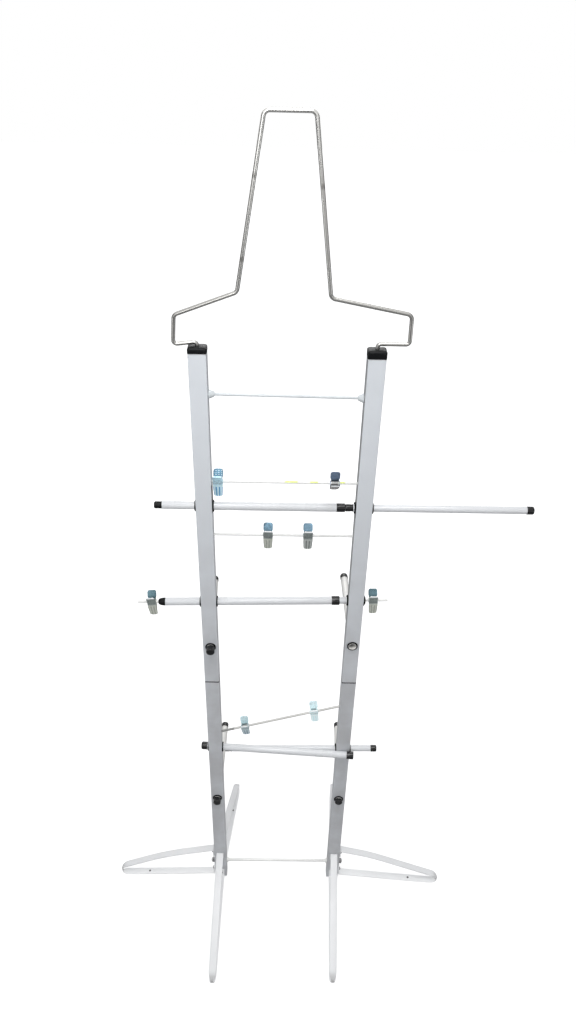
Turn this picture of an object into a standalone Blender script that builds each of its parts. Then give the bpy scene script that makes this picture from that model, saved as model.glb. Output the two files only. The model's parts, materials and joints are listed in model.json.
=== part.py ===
"""Free-standing gear rack.

Two square posts stand on six hairpin legs. Sliding arms pass through bushings in the posts, rods between
the posts carry spring clips, and a shoulder-shaped wire hanger lifts out of the post caps.
Metres, +Z up. The front faces -Y. The origin is on the floor, at the middle of the footprint.
"""

import math

import bmesh
import bpy
from mathutils import Matrix, Vector

# Fits and facets
GAP = 0.0003
RUNNING_GAP = 0.00025
OVERRUN = 0.004
MERGE = 0.00002
SIDES = 14
NUT_SIDES = 6

# Posts: two sections each, joined by a sleeve inside
POST_SPACING = 0.343
POST_WIDTH = 0.036
POST_DEPTH = 0.0275
POST_WALL = 0.0015
POST_CORNER = 0.002
POST_FOOT = 0.018
POST_TOP_LEFT = 1.7255
POST_TOP_RIGHT = 1.7210
SEAM_HEIGHT = 0.859
SLEEVE_LENGTH = 0.12
CORNER_STEPS = 2

# Caps on the posts, with a hole for the hanger's wire
CAP_TOP = 1.7355
CAP_INSET = 0.0004
CAP_ROUNDING = 0.003
CAP_SHANK = 0.014

# Wire hanger
WIRE_RADIUS = 0.004
WIRE_BEND = 0.011
WIRE_SEAT_BEND = 0.006
WIRE_SEAT = 0.07
HANGER_HEIGHT = 2.1405
HANGER_TOP_HALF = 0.043
HANGER_NECK_LEFT = 0.0985
HANGER_NECK_RIGHT = 0.0785
HANGER_NECK_HEIGHT = 1.834
HANGER_SHOULDER = 0.2215
HANGER_SHOULDER_LEAN = 0.009
HANGER_SHOULDER_LEFT_HEIGHT = 1.7925
HANGER_SHOULDER_RIGHT_HEIGHT = 1.8055
HANGER_FOOT_LEFT = 0.2168
HANGER_FOOT_RIGHT = 0.2317
HANGER_FOOT_HEIGHT = 1.7425
HANGER_BEND_STEPS = 3

# Bushings in the post faces
FLANGE_RADIUS = 0.01275
FLANGE_THICKNESS = 0.0025
FLANGE_TAPER = 0.0008

# Sliding arms: wide tubes, and slim tubes that slide into them
WIDE_RADIUS = 0.0093
WIDE_WALL = 0.0006
WIDE_LENGTH = 0.405
SLIM_RADIUS = 0.008
SLIM_WALL = 0.001
SLIM_LENGTH = 0.389
CROSS_LENGTH = 0.285
OPEN_CROSS_LENGTH = 0.277

# Ends of the arms
END_WALL = 0.0009
END_DOME = 0.002
END_SLEEVE = 0.014
RING_SLEEVE = 0.016
STOP_RADIUS = 0.0085
STOP_LENGTH = 0.018
STOP_BEVEL = 0.0025
PLUG_SHANK = 0.012
CONE_LENGTH = 0.0165
CONE_TIP_RADIUS = 0.0046
HEAD_RADIUS = 0.009
HEAD_THICKNESS = 0.002

# Heights of the three rows of side arms, and how far each one is pulled out of its post
ROW_A_HEIGHT = 1.3756
ROW_B_HEIGHT = 1.1085
ROW_B_RISE = 0.009
ROW_C_LEFT_HEIGHT = 0.6010
ROW_C_RIGHT_HEIGHT = 0.5985
ROW_C_LEFT_DROP = 0.0027
ROW_C_RIGHT_RISE = 0.0168
ROW_C_LEFT_SWEEP = 0.0262
ROW_C_RIGHT_SWEEP = 0.0086
ARM_A_LEFT_REACH = 0.1045
ARM_A_RIGHT_REACH = 0.3673
ARM_B_LEFT_REACH = 0.1015
ARM_C_LEFT_REACH = 0.0360
ARM_C_RIGHT_REACH = 0.0893

# Front-to-back arms, four of them, pushed towards the rear
CROSS_UPPER_OVER_SEAM = 0.1178
CROSS_UPPER_RISE = 0.0091
CROSS_UPPER_LEFT_HEIGHT = SEAM_HEIGHT + CROSS_UPPER_OVER_SEAM
CROSS_UPPER_RIGHT_HEIGHT = CROSS_UPPER_LEFT_HEIGHT + CROSS_UPPER_RISE
CROSS_LOWER_HEIGHT = 0.400
CROSS_UPPER_LEFT_REACH = 0.2530
CROSS_UPPER_RIGHT_REACH = 0.2600
CROSS_LOWER_LEFT_REACH = 0.2540
CROSS_LOWER_RIGHT_REACH = 0.2590
CROSS_UPPER_LEFT_SWEEP = -0.0095
CROSS_UPPER_RIGHT_SWEEP = -0.0035
CROSS_LOWER_LEFT_SWEEP = 0.0045
CROSS_LOWER_RIGHT_SWEEP = 0.0105

# Rods that carry the clips
RAIL_RADIUS = 0.003
RAIL_INSERT = 0.010
RAIL_1_HEIGHT = 1.4373
RAIL_2_HEIGHT = 1.3010
RAIL_4_OVER_ROW_C = 0.0602
RAIL_4_RISE = 0.1001
RAIL_4_LEFT_HEIGHT = ROW_C_LEFT_HEIGHT + RAIL_4_OVER_ROW_C
RAIL_4_RIGHT_HEIGHT = RAIL_4_LEFT_HEIGHT + RAIL_4_RISE
STUB_LEFT_REACH = 0.1663
STUB_RIGHT_REACH = 0.0750

# Tie rods and their fittings
LOWER_ROD_HEIGHT = 0.082
LOWER_ROD_RADIUS = 0.004
UPPER_ROD_HEIGHT = 1.635
UPPER_ROD_RADIUS = 0.003
NUT_RADIUS = 0.0085
NUT_THICKNESS = 0.008
ROD_END = 0.003
COLLAR_RADIUS = 0.0075
COLLAR_THICKNESS = 0.005
CONE_BASE_RADIUS = 0.009
CONE_NOSE_RADIUS = 0.005
CONE_NUT_LENGTH = 0.012
CONE_RIM = 0.003

# Hairpin legs of flat bar
BAR_WIDTH = 0.019
BAR_THICKNESS = 0.003
LEG_TOP = 0.142
LEG_LOW = 0.026
LEG_TAB = 0.028
LEG_TIP_BEND = 0.0035
LEG_ROOT_BEND = 0.004
LEG_FLAT = 0.030
LEG_TIP_ROUNDING = 0.009
LEG_TIP_MARGIN = 0.0005
LEG_TIP_STEPS = 6
LEG_BEND_STEPS = 4
LEG_HOLE_RADIUS = 0.003
LEG_HOLE_FROM_TIP = 0.090
LEG_FRONT_LEFT_REACH = 0.309
LEG_FRONT_RIGHT_REACH = 0.306
LEG_REAR_LEFT_REACH = 0.317
LEG_REAR_RIGHT_REACH = 0.321
LEG_SIDE_LEFT_REACH = 0.2915
LEG_SIDE_RIGHT_REACH = 0.309
LEG_FRONT_LEFT_SWEEP = -0.0046
LEG_FRONT_RIGHT_SWEEP = -0.0125
LEG_REAR_LEFT_SWEEP = 0.034
LEG_REAR_RIGHT_SWEEP = 0.021
LEG_SIDE_LEFT_SWEEP = 0.010
LEG_SIDE_RIGHT_SWEEP = -0.010
BOLT_FROM_BEND = 0.016
BOLT_HEAD_RADIUS = 0.005
BOLT_HEAD_HEIGHT = 0.0035
BOLT_SHANK_RADIUS = 0.003
BOLT_PAST_WALL = 0.006
BOLT_HEAD_SEAT_SHARE = 0.6

# Spring clips: two plates hinged on the rod, handles above it and ribbed jaws below it
CLIP_WIDTH = 0.0206
CLIP_PLATE = 0.001
CLIP_WAIST = 0.0062
CLIP_HANDLE_HEIGHT = 0.0195
CLIP_HANDLE_SPLAY = 0.0160
CLIP_JAW_LENGTH = 0.036
CLIP_JAW_TIP = 0.0008
CLIP_JAW_SHOULDER = 0.012
CLIP_JAW_BELLY = 0.0058
CLIP_LIP = 0.003
CLIP_RIB_DEPTH = 0.0006
CLIP_RIBS = 3
CLIP_EAR_RADIUS = 0.0052
CLIP_CORNER_SHARE = 0.86
CLIP_1_PLACE = -0.1407
CLIP_2_PLACE = 0.1064
CLIP_3_PLACE = -0.0343
CLIP_4_PLACE = 0.0540
CLIP_5_REACH = 0.1334
CLIP_6_REACH = 0.0412
CLIP_7_PLACE = -0.0915
CLIP_8_PLACE = 0.0889
CLIP_SWINGS = {"clip_2": 38.0, "clip_5": -5.0, "clip_6": -6.0, "clip_7": 8.0}
CLIP_TILTS = {"clip_5": -4.0}

POST_X = {"left": -POST_SPACING / 2, "right": POST_SPACING / 2}
POST_TOP = {"left": POST_TOP_LEFT, "right": POST_TOP_RIGHT}
OUTWARD = {"left": -1, "right": 1}
SIDE_FACE = POST_WIDTH / 2
FRONT_FACE = POST_DEPTH / 2
UP = Vector((0, 0, 1))

LEGS = {
    "leg_front_left": ("left", (0, -1), LEG_FRONT_LEFT_REACH, LEG_FRONT_LEFT_SWEEP),
    "leg_front_right": ("right", (0, -1), LEG_FRONT_RIGHT_REACH, LEG_FRONT_RIGHT_SWEEP),
    "leg_rear_left": ("left", (0, 1), LEG_REAR_LEFT_REACH, LEG_REAR_LEFT_SWEEP),
    "leg_rear_right": ("right", (0, 1), LEG_REAR_RIGHT_REACH, LEG_REAR_RIGHT_SWEEP),
    "leg_side_left": ("left", (-1, 0), LEG_SIDE_LEFT_REACH, LEG_SIDE_LEFT_SWEEP),
    "leg_side_right": ("right", (1, 0), LEG_SIDE_RIGHT_REACH, LEG_SIDE_RIGHT_SWEEP),
}


def around(radius, sides=SIDES):
    """Corner radius of a polygon whose flats clear a round of this radius."""
    return radius / math.cos(math.pi / sides)


def material(name, colour, roughness, metallic):
    """A Principled material."""
    made = bpy.data.materials.new(name)
    made.use_nodes = True
    shader = made.node_tree.nodes["Principled BSDF"]
    shader.inputs["Base Color"].default_value = (*colour, 1)
    shader.inputs["Roughness"].default_value = roughness
    shader.inputs["Metallic"].default_value = metallic
    return made


def clear_scene():
    """Remove whatever the file opens with."""
    for item in list(bpy.data.objects):
        bpy.data.objects.remove(item, do_unlink=True)


def collection(name):
    """A collection linked to the scene."""
    made = bpy.data.collections.new(name)
    bpy.context.scene.collection.children.link(made)
    return made


clear_scene()
RACK = collection("gear_rack")
CUTTERS = collection("cutters")

POST_PAINT = material("post_paint", (0.52, 0.55, 0.60), 0.45, 0.3)
TUBE_PAINT = material("tube_paint", (0.86, 0.87, 0.86), 0.35, 0.0)
LEG_PAINT = material("leg_paint", (0.83, 0.84, 0.85), 0.4, 0.0)
ROD_PAINT = material("rod_paint", (0.88, 0.88, 0.84), 0.35, 0.0)
BLACK_PLASTIC = material("black_plastic", (0.02, 0.02, 0.022), 0.5, 0.0)
BRIGHT_WIRE = material("bright_wire", (0.75, 0.76, 0.78), 0.18, 1.0)
ZINC_PLATE = material("zinc_plate", (0.60, 0.66, 0.72), 0.3, 1.0)
BOLT_STEEL = material("bolt_steel", (0.30, 0.30, 0.31), 0.4, 1.0)


def place(item, matrix, parent):
    """Put an object at a matrix in the rack's own frame."""
    item.parent = parent
    item.matrix_local = matrix
    return item


def add_object(name, mesh, look, matrix=Matrix.Identity(4)):
    """A new part of the rack, or of one of its bodies."""
    item = bpy.data.objects.new(name, mesh)
    RACK.objects.link(item)
    if look:
        mesh.materials.clear()
        mesh.materials.append(look)
    return place(item, matrix, RACK_FRAME)


def add_guide(name, mesh):
    """A shape that only cuts a part or is joined to it."""
    item = bpy.data.objects.new(name, mesh)
    CUTTERS.objects.link(item)
    item.hide_render = True
    item.display_type = "WIRE"
    return place(item, Matrix.Identity(4), RACK_FRAME)


def combine(item, guide, operation):
    """Cut a guide's shape out of a part, or join it to the part."""
    boolean = item.modifiers.new(operation.lower(), "BOOLEAN")
    boolean.operation = operation
    boolean.solver = "EXACT"
    boolean.object = guide


def frame_along(point, direction):
    """Matrix at a point whose local Z runs along a direction, and local X is near to up."""
    z_axis = Vector(direction).normalized()
    near = UP if abs(z_axis.z) < math.cos(math.pi / 4) else Vector((1, 0, 0))
    y_axis = z_axis.cross(near).normalized()
    x_axis = y_axis.cross(z_axis)
    turn = Matrix((x_axis, y_axis, z_axis)).transposed().to_4x4()
    return Matrix.Translation(point) @ turn


def turned(name, profile, look, matrix, sides=SIDES):
    """A body of revolution about local Z, from a profile that runs down its outer side.

    A profile that starts and ends on the axis is solid, and any other is closed into a ring."""
    mesh = bpy.data.meshes.new(name)
    shape = bmesh.new()
    points = [shape.verts.new((radius, 0, height)) for radius, height in profile]
    ends = points[1:] + points[:1] if profile[0][0] > 0 else points[1:]
    for first, second in zip(points, ends):
        shape.edges.new((first, second))
    shape.to_mesh(mesh)
    shape.free()
    item = add_object(name, mesh, look, matrix)
    screw = item.modifiers.new("turn", "SCREW")
    screw.axis = "Z"
    screw.angle = math.tau
    screw.steps = sides
    screw.render_steps = sides
    screw.use_smooth_shade = True
    screw.use_merge_vertices = True
    screw.merge_threshold = MERGE
    return item


def bar(radius, low, high):
    """Profile of a plain round bar."""
    return [(0, high), (radius, high), (radius, low), (0, low)]


def curve_part(name, curve, look, matrix):
    """A part from a curve, made into a welded and closed mesh."""
    item = bpy.data.objects.new(name, curve)
    RACK.objects.link(item)
    bpy.context.view_layer.update()
    graph = bpy.context.evaluated_depsgraph_get()
    mesh = bpy.data.meshes.new_from_object(item.evaluated_get(graph))
    bpy.data.objects.remove(item, do_unlink=True)
    shape = bmesh.new()
    shape.from_mesh(mesh)
    bmesh.ops.remove_doubles(shape, verts=shape.verts, dist=MERGE)
    shape.to_mesh(mesh)
    shape.free()
    return add_object(name, mesh, look, matrix)


def flat_outline(name, outlines, thickness, look, matrix):
    """A flat piece from closed outlines in local XY, the inner ones being openings."""
    curve = bpy.data.curves.new(name, "CURVE")
    curve.dimensions = "2D"
    curve.fill_mode = "BOTH"
    curve.extrude = thickness / 2
    for outline in outlines:
        spline = curve.splines.new("POLY")
        spline.points.add(len(outline) - 1)
        for point, (across, along) in zip(spline.points, outline):
            point.co = (across, along, 0, 1)
        spline.use_cyclic_u = True
    return curve_part(name, curve, look, matrix)


def rounded(points, radii, steps, closed=False):
    """A path whose corners are arcs of the given radii."""
    corners = [Vector(point) for point in points]
    count = len(corners)
    path = []
    for index, corner in enumerate(corners):
        if not closed and index in (0, count - 1):
            path.append(corner)
            continue
        before = (corners[index - 1] - corner).normalized()
        after = (corners[(index + 1) % count] - corner).normalized()
        half = before.angle(after) / 2
        radius = radii[index]
        centre = corner + (before + after).normalized() * (radius / math.sin(half))
        start = corner + before * (radius / math.tan(half)) - centre
        finish = corner + after * (radius / math.tan(half)) - centre
        for step in range(steps + 1):
            turn = step / steps
            sweep = math.pi - 2 * half
            blend = start * math.sin((1 - turn) * sweep) + finish * math.sin(turn * sweep)
            path.append(centre + blend / math.sin(sweep))
    return path


def rectangle(width, depth, corner=0):
    """Corners of a box section, rounded where a corner radius is given."""
    half_width = width / 2
    half_depth = depth / 2
    corners = [
        (-half_width, -half_depth),
        (half_width, -half_depth),
        (half_width, half_depth),
        (-half_width, half_depth),
    ]
    if not corner:
        return corners
    path = rounded(corners, [corner] * len(corners), CORNER_STEPS, closed=True)
    return [tuple(point) for point in path]


def rounds(name, rods):
    """Straight round bodies in one guide mesh, each from a start, an end and the radius at each."""
    mesh = bpy.data.meshes.new(name)
    shape = bmesh.new()
    for start, end, start_radius, end_radius in rods:
        start = Vector(start)
        end = Vector(end)
        bmesh.ops.create_cone(
            shape,
            cap_ends=True,
            segments=SIDES,
            radius1=start_radius,
            radius2=end_radius,
            depth=(end - start).length,
            matrix=frame_along((start + end) / 2, end - start),
        )
    shape.to_mesh(mesh)
    shape.free()
    return mesh


def drilled(part, holes):
    """Cut round holes into a part: start, end and the round that each hole clears."""
    name = part.name + "_holes"
    drills = [(start, end, around(radius), around(radius)) for start, end, radius in holes]
    cutter = add_guide(name, rounds(name, drills))
    combine(part, cutter, "DIFFERENCE")
    return cutter


def joined(part, bodies):
    """Join round bodies to a part: start, end and the radius at each."""
    name = part.name + "_joined"
    combine(part, add_guide(name, rounds(name, bodies)), "UNION")


# Arms

def side_arm(side, height, rise, sweep):
    """Line of a side arm: where it crosses its post, and its way out of it."""
    start = Vector((POST_X[side], 0, height))
    return start, Vector((OUTWARD[side] * POST_SPACING, sweep, rise)).normalized()


def cross_arm(side, height, sweep, reach):
    """Line of a front-to-back arm: where it crosses its post, and its way to the rear."""
    return Vector((POST_X[side], 0, height)), Vector((sweep, reach, 0)).normalized()


ARM_LINES = {
    "arm_a_left": side_arm("left", ROW_A_HEIGHT, 0, 0),
    "arm_a_right": side_arm("right", ROW_A_HEIGHT, 0, 0),
    "arm_b_left": side_arm("left", ROW_B_HEIGHT, -ROW_B_RISE, 0),
    "arm_b_right": side_arm("right", ROW_B_HEIGHT + ROW_B_RISE, ROW_B_RISE, 0),
    "arm_c_left": side_arm("left", ROW_C_LEFT_HEIGHT, -ROW_C_LEFT_DROP, ROW_C_LEFT_SWEEP),
    "arm_c_right": side_arm("right", ROW_C_RIGHT_HEIGHT, ROW_C_RIGHT_RISE, -ROW_C_RIGHT_SWEEP),
    "arm_d_left": cross_arm("left", CROSS_UPPER_LEFT_HEIGHT, CROSS_UPPER_LEFT_SWEEP, CROSS_UPPER_LEFT_REACH),
    "arm_d_right": cross_arm(
        "right", CROSS_UPPER_RIGHT_HEIGHT, CROSS_UPPER_RIGHT_SWEEP, CROSS_UPPER_RIGHT_REACH
    ),
    "arm_e_left": cross_arm("left", CROSS_LOWER_HEIGHT, CROSS_LOWER_LEFT_SWEEP, CROSS_LOWER_LEFT_REACH),
    "arm_e_right": cross_arm("right", CROSS_LOWER_HEIGHT, CROSS_LOWER_RIGHT_SWEEP, CROSS_LOWER_RIGHT_REACH),
}
SLIM_ARMS = ("arm_a_right", "arm_b_right", "arm_c_right")
CROSS_ARMS = ("arm_d_left", "arm_d_right", "arm_e_left", "arm_e_right")
OPEN_ARM = "arm_d_right"
ARM_REACHES = {
    "arm_a_left": ARM_A_LEFT_REACH,
    "arm_a_right": ARM_A_RIGHT_REACH,
    "arm_b_left": ARM_B_LEFT_REACH,
    "arm_b_right": (SIDE_FACE + FLANGE_THICKNESS) / ARM_LINES["arm_b_right"][1].x,
    "arm_c_left": ARM_C_LEFT_REACH,
    "arm_c_right": ARM_C_RIGHT_REACH,
    "arm_d_left": CROSS_UPPER_LEFT_REACH,
    "arm_d_right": CROSS_UPPER_RIGHT_REACH,
    "arm_e_left": CROSS_LOWER_LEFT_REACH,
    "arm_e_right": CROSS_LOWER_RIGHT_REACH,
}


def arm_side(name):
    """The post that carries an arm."""
    return name.rsplit("_", 1)[1]


def arm_tube(name):
    """Outer radius, wall and length of an arm's tube."""
    if name in SLIM_ARMS:
        return SLIM_RADIUS, SLIM_WALL, SLIM_LENGTH
    if name == OPEN_ARM:
        return WIDE_RADIUS, WIDE_WALL, OPEN_CROSS_LENGTH
    return WIDE_RADIUS, WIDE_WALL, CROSS_LENGTH if name in CROSS_ARMS else WIDE_LENGTH


def arm_bushings(name):
    """Where an arm's line crosses the two faces of its post: points and outward normals."""
    start, way = ARM_LINES[name]
    if name in CROSS_ARMS:
        return [(start + way * (FRONT_FACE * sign / way.y), Vector((0, sign, 0))) for sign in (-1, 1)]
    return [(start + way * (SIDE_FACE * sign / way.x), Vector((sign, 0, 0))) for sign in (-1, 1)]


def ringed_tube(outer_end, inner_end):
    """Wide tube with a ring on its inner end, open for the slim tube that slides into it."""
    bore = WIDE_RADIUS - WIDE_WALL
    rim = WIDE_RADIUS + END_WALL
    return [
        (WIDE_RADIUS, outer_end),
        (WIDE_RADIUS, inner_end + RING_SLEEVE),
        (rim, inner_end + RING_SLEEVE),
        (rim, inner_end - END_DOME / 2),
        (rim - END_DOME / 2, inner_end - END_DOME),
        (bore, inner_end - END_DOME),
        (bore, outer_end),
    ]


def stopped_tube(outer_end, inner_end):
    """Slim tube with the plug on its inner end that stops it at its bushing."""
    bore = SLIM_RADIUS - SLIM_WALL
    return [
        (0, inner_end + PLUG_SHANK),
        (bore, inner_end + PLUG_SHANK),
        (bore, outer_end),
        (SLIM_RADIUS, outer_end),
        (SLIM_RADIUS, inner_end),
        (STOP_RADIUS, inner_end),
        (STOP_RADIUS, inner_end - STOP_LENGTH + STOP_BEVEL),
        (STOP_RADIUS - STOP_BEVEL, inner_end - STOP_LENGTH),
        (0, inner_end - STOP_LENGTH),
    ]


def capped_tube(outer_end, inner_end, slope):
    """Wide tube with a domed cap in front, as long as there is room for before the flange."""
    bore = WIDE_RADIUS - WIDE_WALL
    rim = WIDE_RADIUS + END_WALL
    cap_end = min(inner_end + RING_SLEEVE, -FRONT_FACE - FLANGE_THICKNESS - GAP - rim * slope)
    return [
        (0, inner_end),
        (bore, inner_end),
        (bore, outer_end),
        (WIDE_RADIUS, outer_end),
        (WIDE_RADIUS, cap_end),
        (rim, cap_end),
        (rim, inner_end),
        (rim - END_DOME, inner_end - END_DOME),
        (0, inner_end - END_DOME),
    ]


def plain_tube(outer_end, inner_end):
    """Wide tube that is open at both ends."""
    bore = WIDE_RADIUS - WIDE_WALL
    return [(WIDE_RADIUS, outer_end), (WIDE_RADIUS, inner_end), (bore, inner_end), (bore, outer_end)]


def domed_cap(radius, end):
    """Cap pushed over the outer end of a tube."""
    bore = radius + GAP
    rim = bore + END_WALL
    return [
        (0, end + END_DOME),
        (rim - END_DOME, end + END_DOME),
        (rim - END_WALL / 2, end + END_DOME / 2),
        (rim, end - END_WALL),
        (rim, end - END_SLEEVE),
        (bore, end - END_SLEEVE),
        (bore, end + GAP),
        (0, end + GAP),
    ]


def cone_plug(end):
    """Pointed plug that holds the left stub rod."""
    bore = around(RAIL_RADIUS + GAP)
    shank = WIDE_RADIUS - WIDE_WALL - GAP
    return [
        (CONE_TIP_RADIUS, end + CONE_LENGTH),
        (WIDE_RADIUS, end + END_DOME),
        (WIDE_RADIUS, end + GAP),
        (shank, end + GAP),
        (shank, end - PLUG_SHANK),
        (bore, end - PLUG_SHANK),
        (bore, end + CONE_LENGTH),
    ]


def headed_plug(end):
    """Plug that holds the right stub rod, its head resting on the flange."""
    bore = around(RAIL_RADIUS + GAP)
    shank = SLIM_RADIUS - SLIM_WALL - GAP
    return [
        (HEAD_RADIUS, end + GAP + HEAD_THICKNESS),
        (HEAD_RADIUS, end + GAP),
        (shank, end + GAP),
        (shank, end - PLUG_SHANK),
        (bore, end - PLUG_SHANK),
        (bore, end + GAP + HEAD_THICKNESS),
    ]


def make_arm(name):
    """One sliding arm: its tube with the piece on its inner end, and the cap on its outer end."""
    start, way = ARM_LINES[name]
    matrix = frame_along(start, way)
    radius, _, length = arm_tube(name)
    outer_end = ARM_REACHES[name]
    inner_end = outer_end - length
    if name == OPEN_ARM:
        tube = plain_tube(outer_end, inner_end)
    elif name in CROSS_ARMS:
        tube = capped_tube(outer_end, inner_end, abs(way.x / way.y))
    elif name in SLIM_ARMS:
        tube = stopped_tube(outer_end, inner_end)
    else:
        tube = ringed_tube(outer_end, inner_end)
    turned(name, tube, TUBE_PAINT, matrix)
    cap = domed_cap(radius, outer_end)
    if name == "arm_b_left":
        cap = cone_plug(outer_end)
    elif name == "arm_b_right":
        cap = headed_plug(outer_end)
    turned(name + "_cap", cap, BLACK_PLASTIC, matrix)


# Rods that carry clips

def rail_line(left_height, right_height):
    """End points of a rod between the posts, a little way inside both."""
    inner = POST_SPACING / 2 - SIDE_FACE
    left = Vector((-inner, 0, left_height))
    right = Vector((inner, 0, right_height))
    way = (right - left).normalized()
    return left - way * RAIL_INSERT, right + way * RAIL_INSERT


RAIL_LINES = {
    "rail_1": rail_line(RAIL_1_HEIGHT, RAIL_1_HEIGHT),
    "rail_2": rail_line(RAIL_2_HEIGHT, RAIL_2_HEIGHT),
    "rail_4": rail_line(RAIL_4_LEFT_HEIGHT, RAIL_4_RIGHT_HEIGHT),
}


def make_rail(name):
    """A rod that carries clips between the posts."""
    left, right = RAIL_LINES[name]
    half = (right - left).length / 2
    turned(name, bar(RAIL_RADIUS, -half, half), ROD_PAINT, frame_along((left + right) / 2, right - left))


def make_stub(name, arm, reach):
    """A short rod held in an arm's outer end, for one clip."""
    start, way = ARM_LINES[arm]
    low = ARM_REACHES[arm] - PLUG_SHANK
    turned(name, bar(RAIL_RADIUS, low, reach), ROD_PAINT, frame_along(start, way))


# Posts

def post_flanges(side):
    """The bushing flanges on one post: start, end and the radius at each."""
    flanges = []
    for name in ARM_LINES:
        if arm_side(name) == side:
            for point, normal in arm_bushings(name):
                seat = point - normal * (POST_WALL / 2)
                rim = point + normal * FLANGE_THICKNESS
                flanges.append((seat, rim, FLANGE_RADIUS, FLANGE_RADIUS - FLANGE_TAPER))
    return flanges


def post_holes(side):
    """Every hole through one post: start, end and the round that it clears."""
    holes = []
    through = SIDE_FACE + FLANGE_THICKNESS + OVERRUN
    for name, (start, way) in ARM_LINES.items():
        if arm_side(name) == side:
            holes.append((start - way * through, start + way * through, arm_tube(name)[0] + RUNNING_GAP))
    for left, right in RAIL_LINES.values():
        way = (right - left).normalized()
        near, inward = (left, way) if side == "left" else (right, -way)
        holes.append((near, near + inward * (RAIL_INSERT + OVERRUN), RAIL_RADIUS + GAP))
    low = Vector((POST_X[side], 0, LOWER_ROD_HEIGHT))
    high = Vector((POST_X[side], 0, UPPER_ROD_HEIGHT))
    across = Vector((OUTWARD[side], 0, 0)) * (SIDE_FACE + OVERRUN)
    holes.append((low - across, low + across, LOWER_ROD_RADIUS + GAP))
    holes.append((high - across, high, UPPER_ROD_RADIUS + GAP))
    for name in LEGS:
        if LEGS[name][0] == side:
            for point, way in leg_bolts(name):
                holes.append((point - way * BOLT_PAST_WALL, point + way * OVERRUN, BOLT_SHANK_RADIUS + GAP))
    return holes


def make_post(side):
    """One post: an upper and a lower section of square tube, with its flanges and holes."""
    section = [
        rectangle(POST_WIDTH, POST_DEPTH, POST_CORNER),
        rectangle(POST_WIDTH - 2 * POST_WALL, POST_DEPTH - 2 * POST_WALL),
    ]
    spans = {"post_lower_": (POST_FOOT, SEAM_HEIGHT - GAP), "post_upper_": (SEAM_HEIGHT, POST_TOP[side])}
    for stem, (low, high) in spans.items():
        middle = Matrix.Translation((POST_X[side], 0, (low + high) / 2))
        post = flat_outline(stem + side, section, high - low, POST_PAINT, middle)
        joined(post, [flange for flange in post_flanges(side) if low < flange[0].z < high])
        drilled(post, [hole for hole in post_holes(side) if low < hole[0].z < high])


def make_sleeve(side):
    """The sleeve inside a post that joins its upper and lower sections."""
    width = POST_WIDTH - 2 * POST_WALL - 2 * GAP
    depth = POST_DEPTH - 2 * POST_WALL - 2 * GAP
    section = [rectangle(width, depth), rectangle(width - 2 * POST_WALL, depth - 2 * POST_WALL)]
    middle = Matrix.Translation((POST_X[side], 0, SEAM_HEIGHT))
    flat_outline("post_sleeve_" + side, section, SLEEVE_LENGTH, POST_PAINT, middle)


def block(width, depth, bottom, top):
    """A box mesh that stands on a height."""
    shape = bmesh.new()
    middle = Matrix.Translation((0, 0, (bottom + top) / 2))
    bmesh.ops.create_cube(shape, size=1, matrix=middle @ Matrix.Diagonal((width, depth, top - bottom, 1)))
    return shape


def make_post_cap(side):
    """The plastic plug on a post: a rounded head, a shank inside the post and a hole for the wire."""
    low = POST_TOP[side] + GAP
    place_at = Matrix.Translation((POST_X[side], 0, 0))
    head = block(POST_WIDTH - 2 * CAP_INSET, POST_DEPTH - 2 * CAP_INSET, low, CAP_TOP)
    upper = [edge for edge in head.edges if max(vert.co.z for vert in edge.verts) > (low + CAP_TOP) / 2]
    bmesh.ops.bevel(head, geom=upper, offset=CAP_ROUNDING, segments=2, profile=0.5, affect="EDGES")
    mesh = bpy.data.meshes.new("post_cap_" + side)
    head.to_mesh(mesh)
    head.free()
    cap = add_object("post_cap_" + side, mesh, BLACK_PLASTIC, place_at)
    inset = POST_WALL + GAP
    shank = block(POST_WIDTH - 2 * inset, POST_DEPTH - 2 * inset, low - CAP_SHANK, (low + CAP_TOP) / 2)
    shank_mesh = bpy.data.meshes.new("shank")
    shank.to_mesh(shank_mesh)
    shank.free()
    guide = add_guide(cap.name + "_shank", shank_mesh)
    guide.matrix_local = place_at
    combine(cap, guide, "UNION")
    under = Vector((POST_X[side], 0, low - CAP_SHANK - OVERRUN))
    over = Vector((POST_X[side], 0, CAP_TOP + OVERRUN))
    drilled(cap, [(under, over, WIRE_RADIUS + GAP)])


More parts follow.
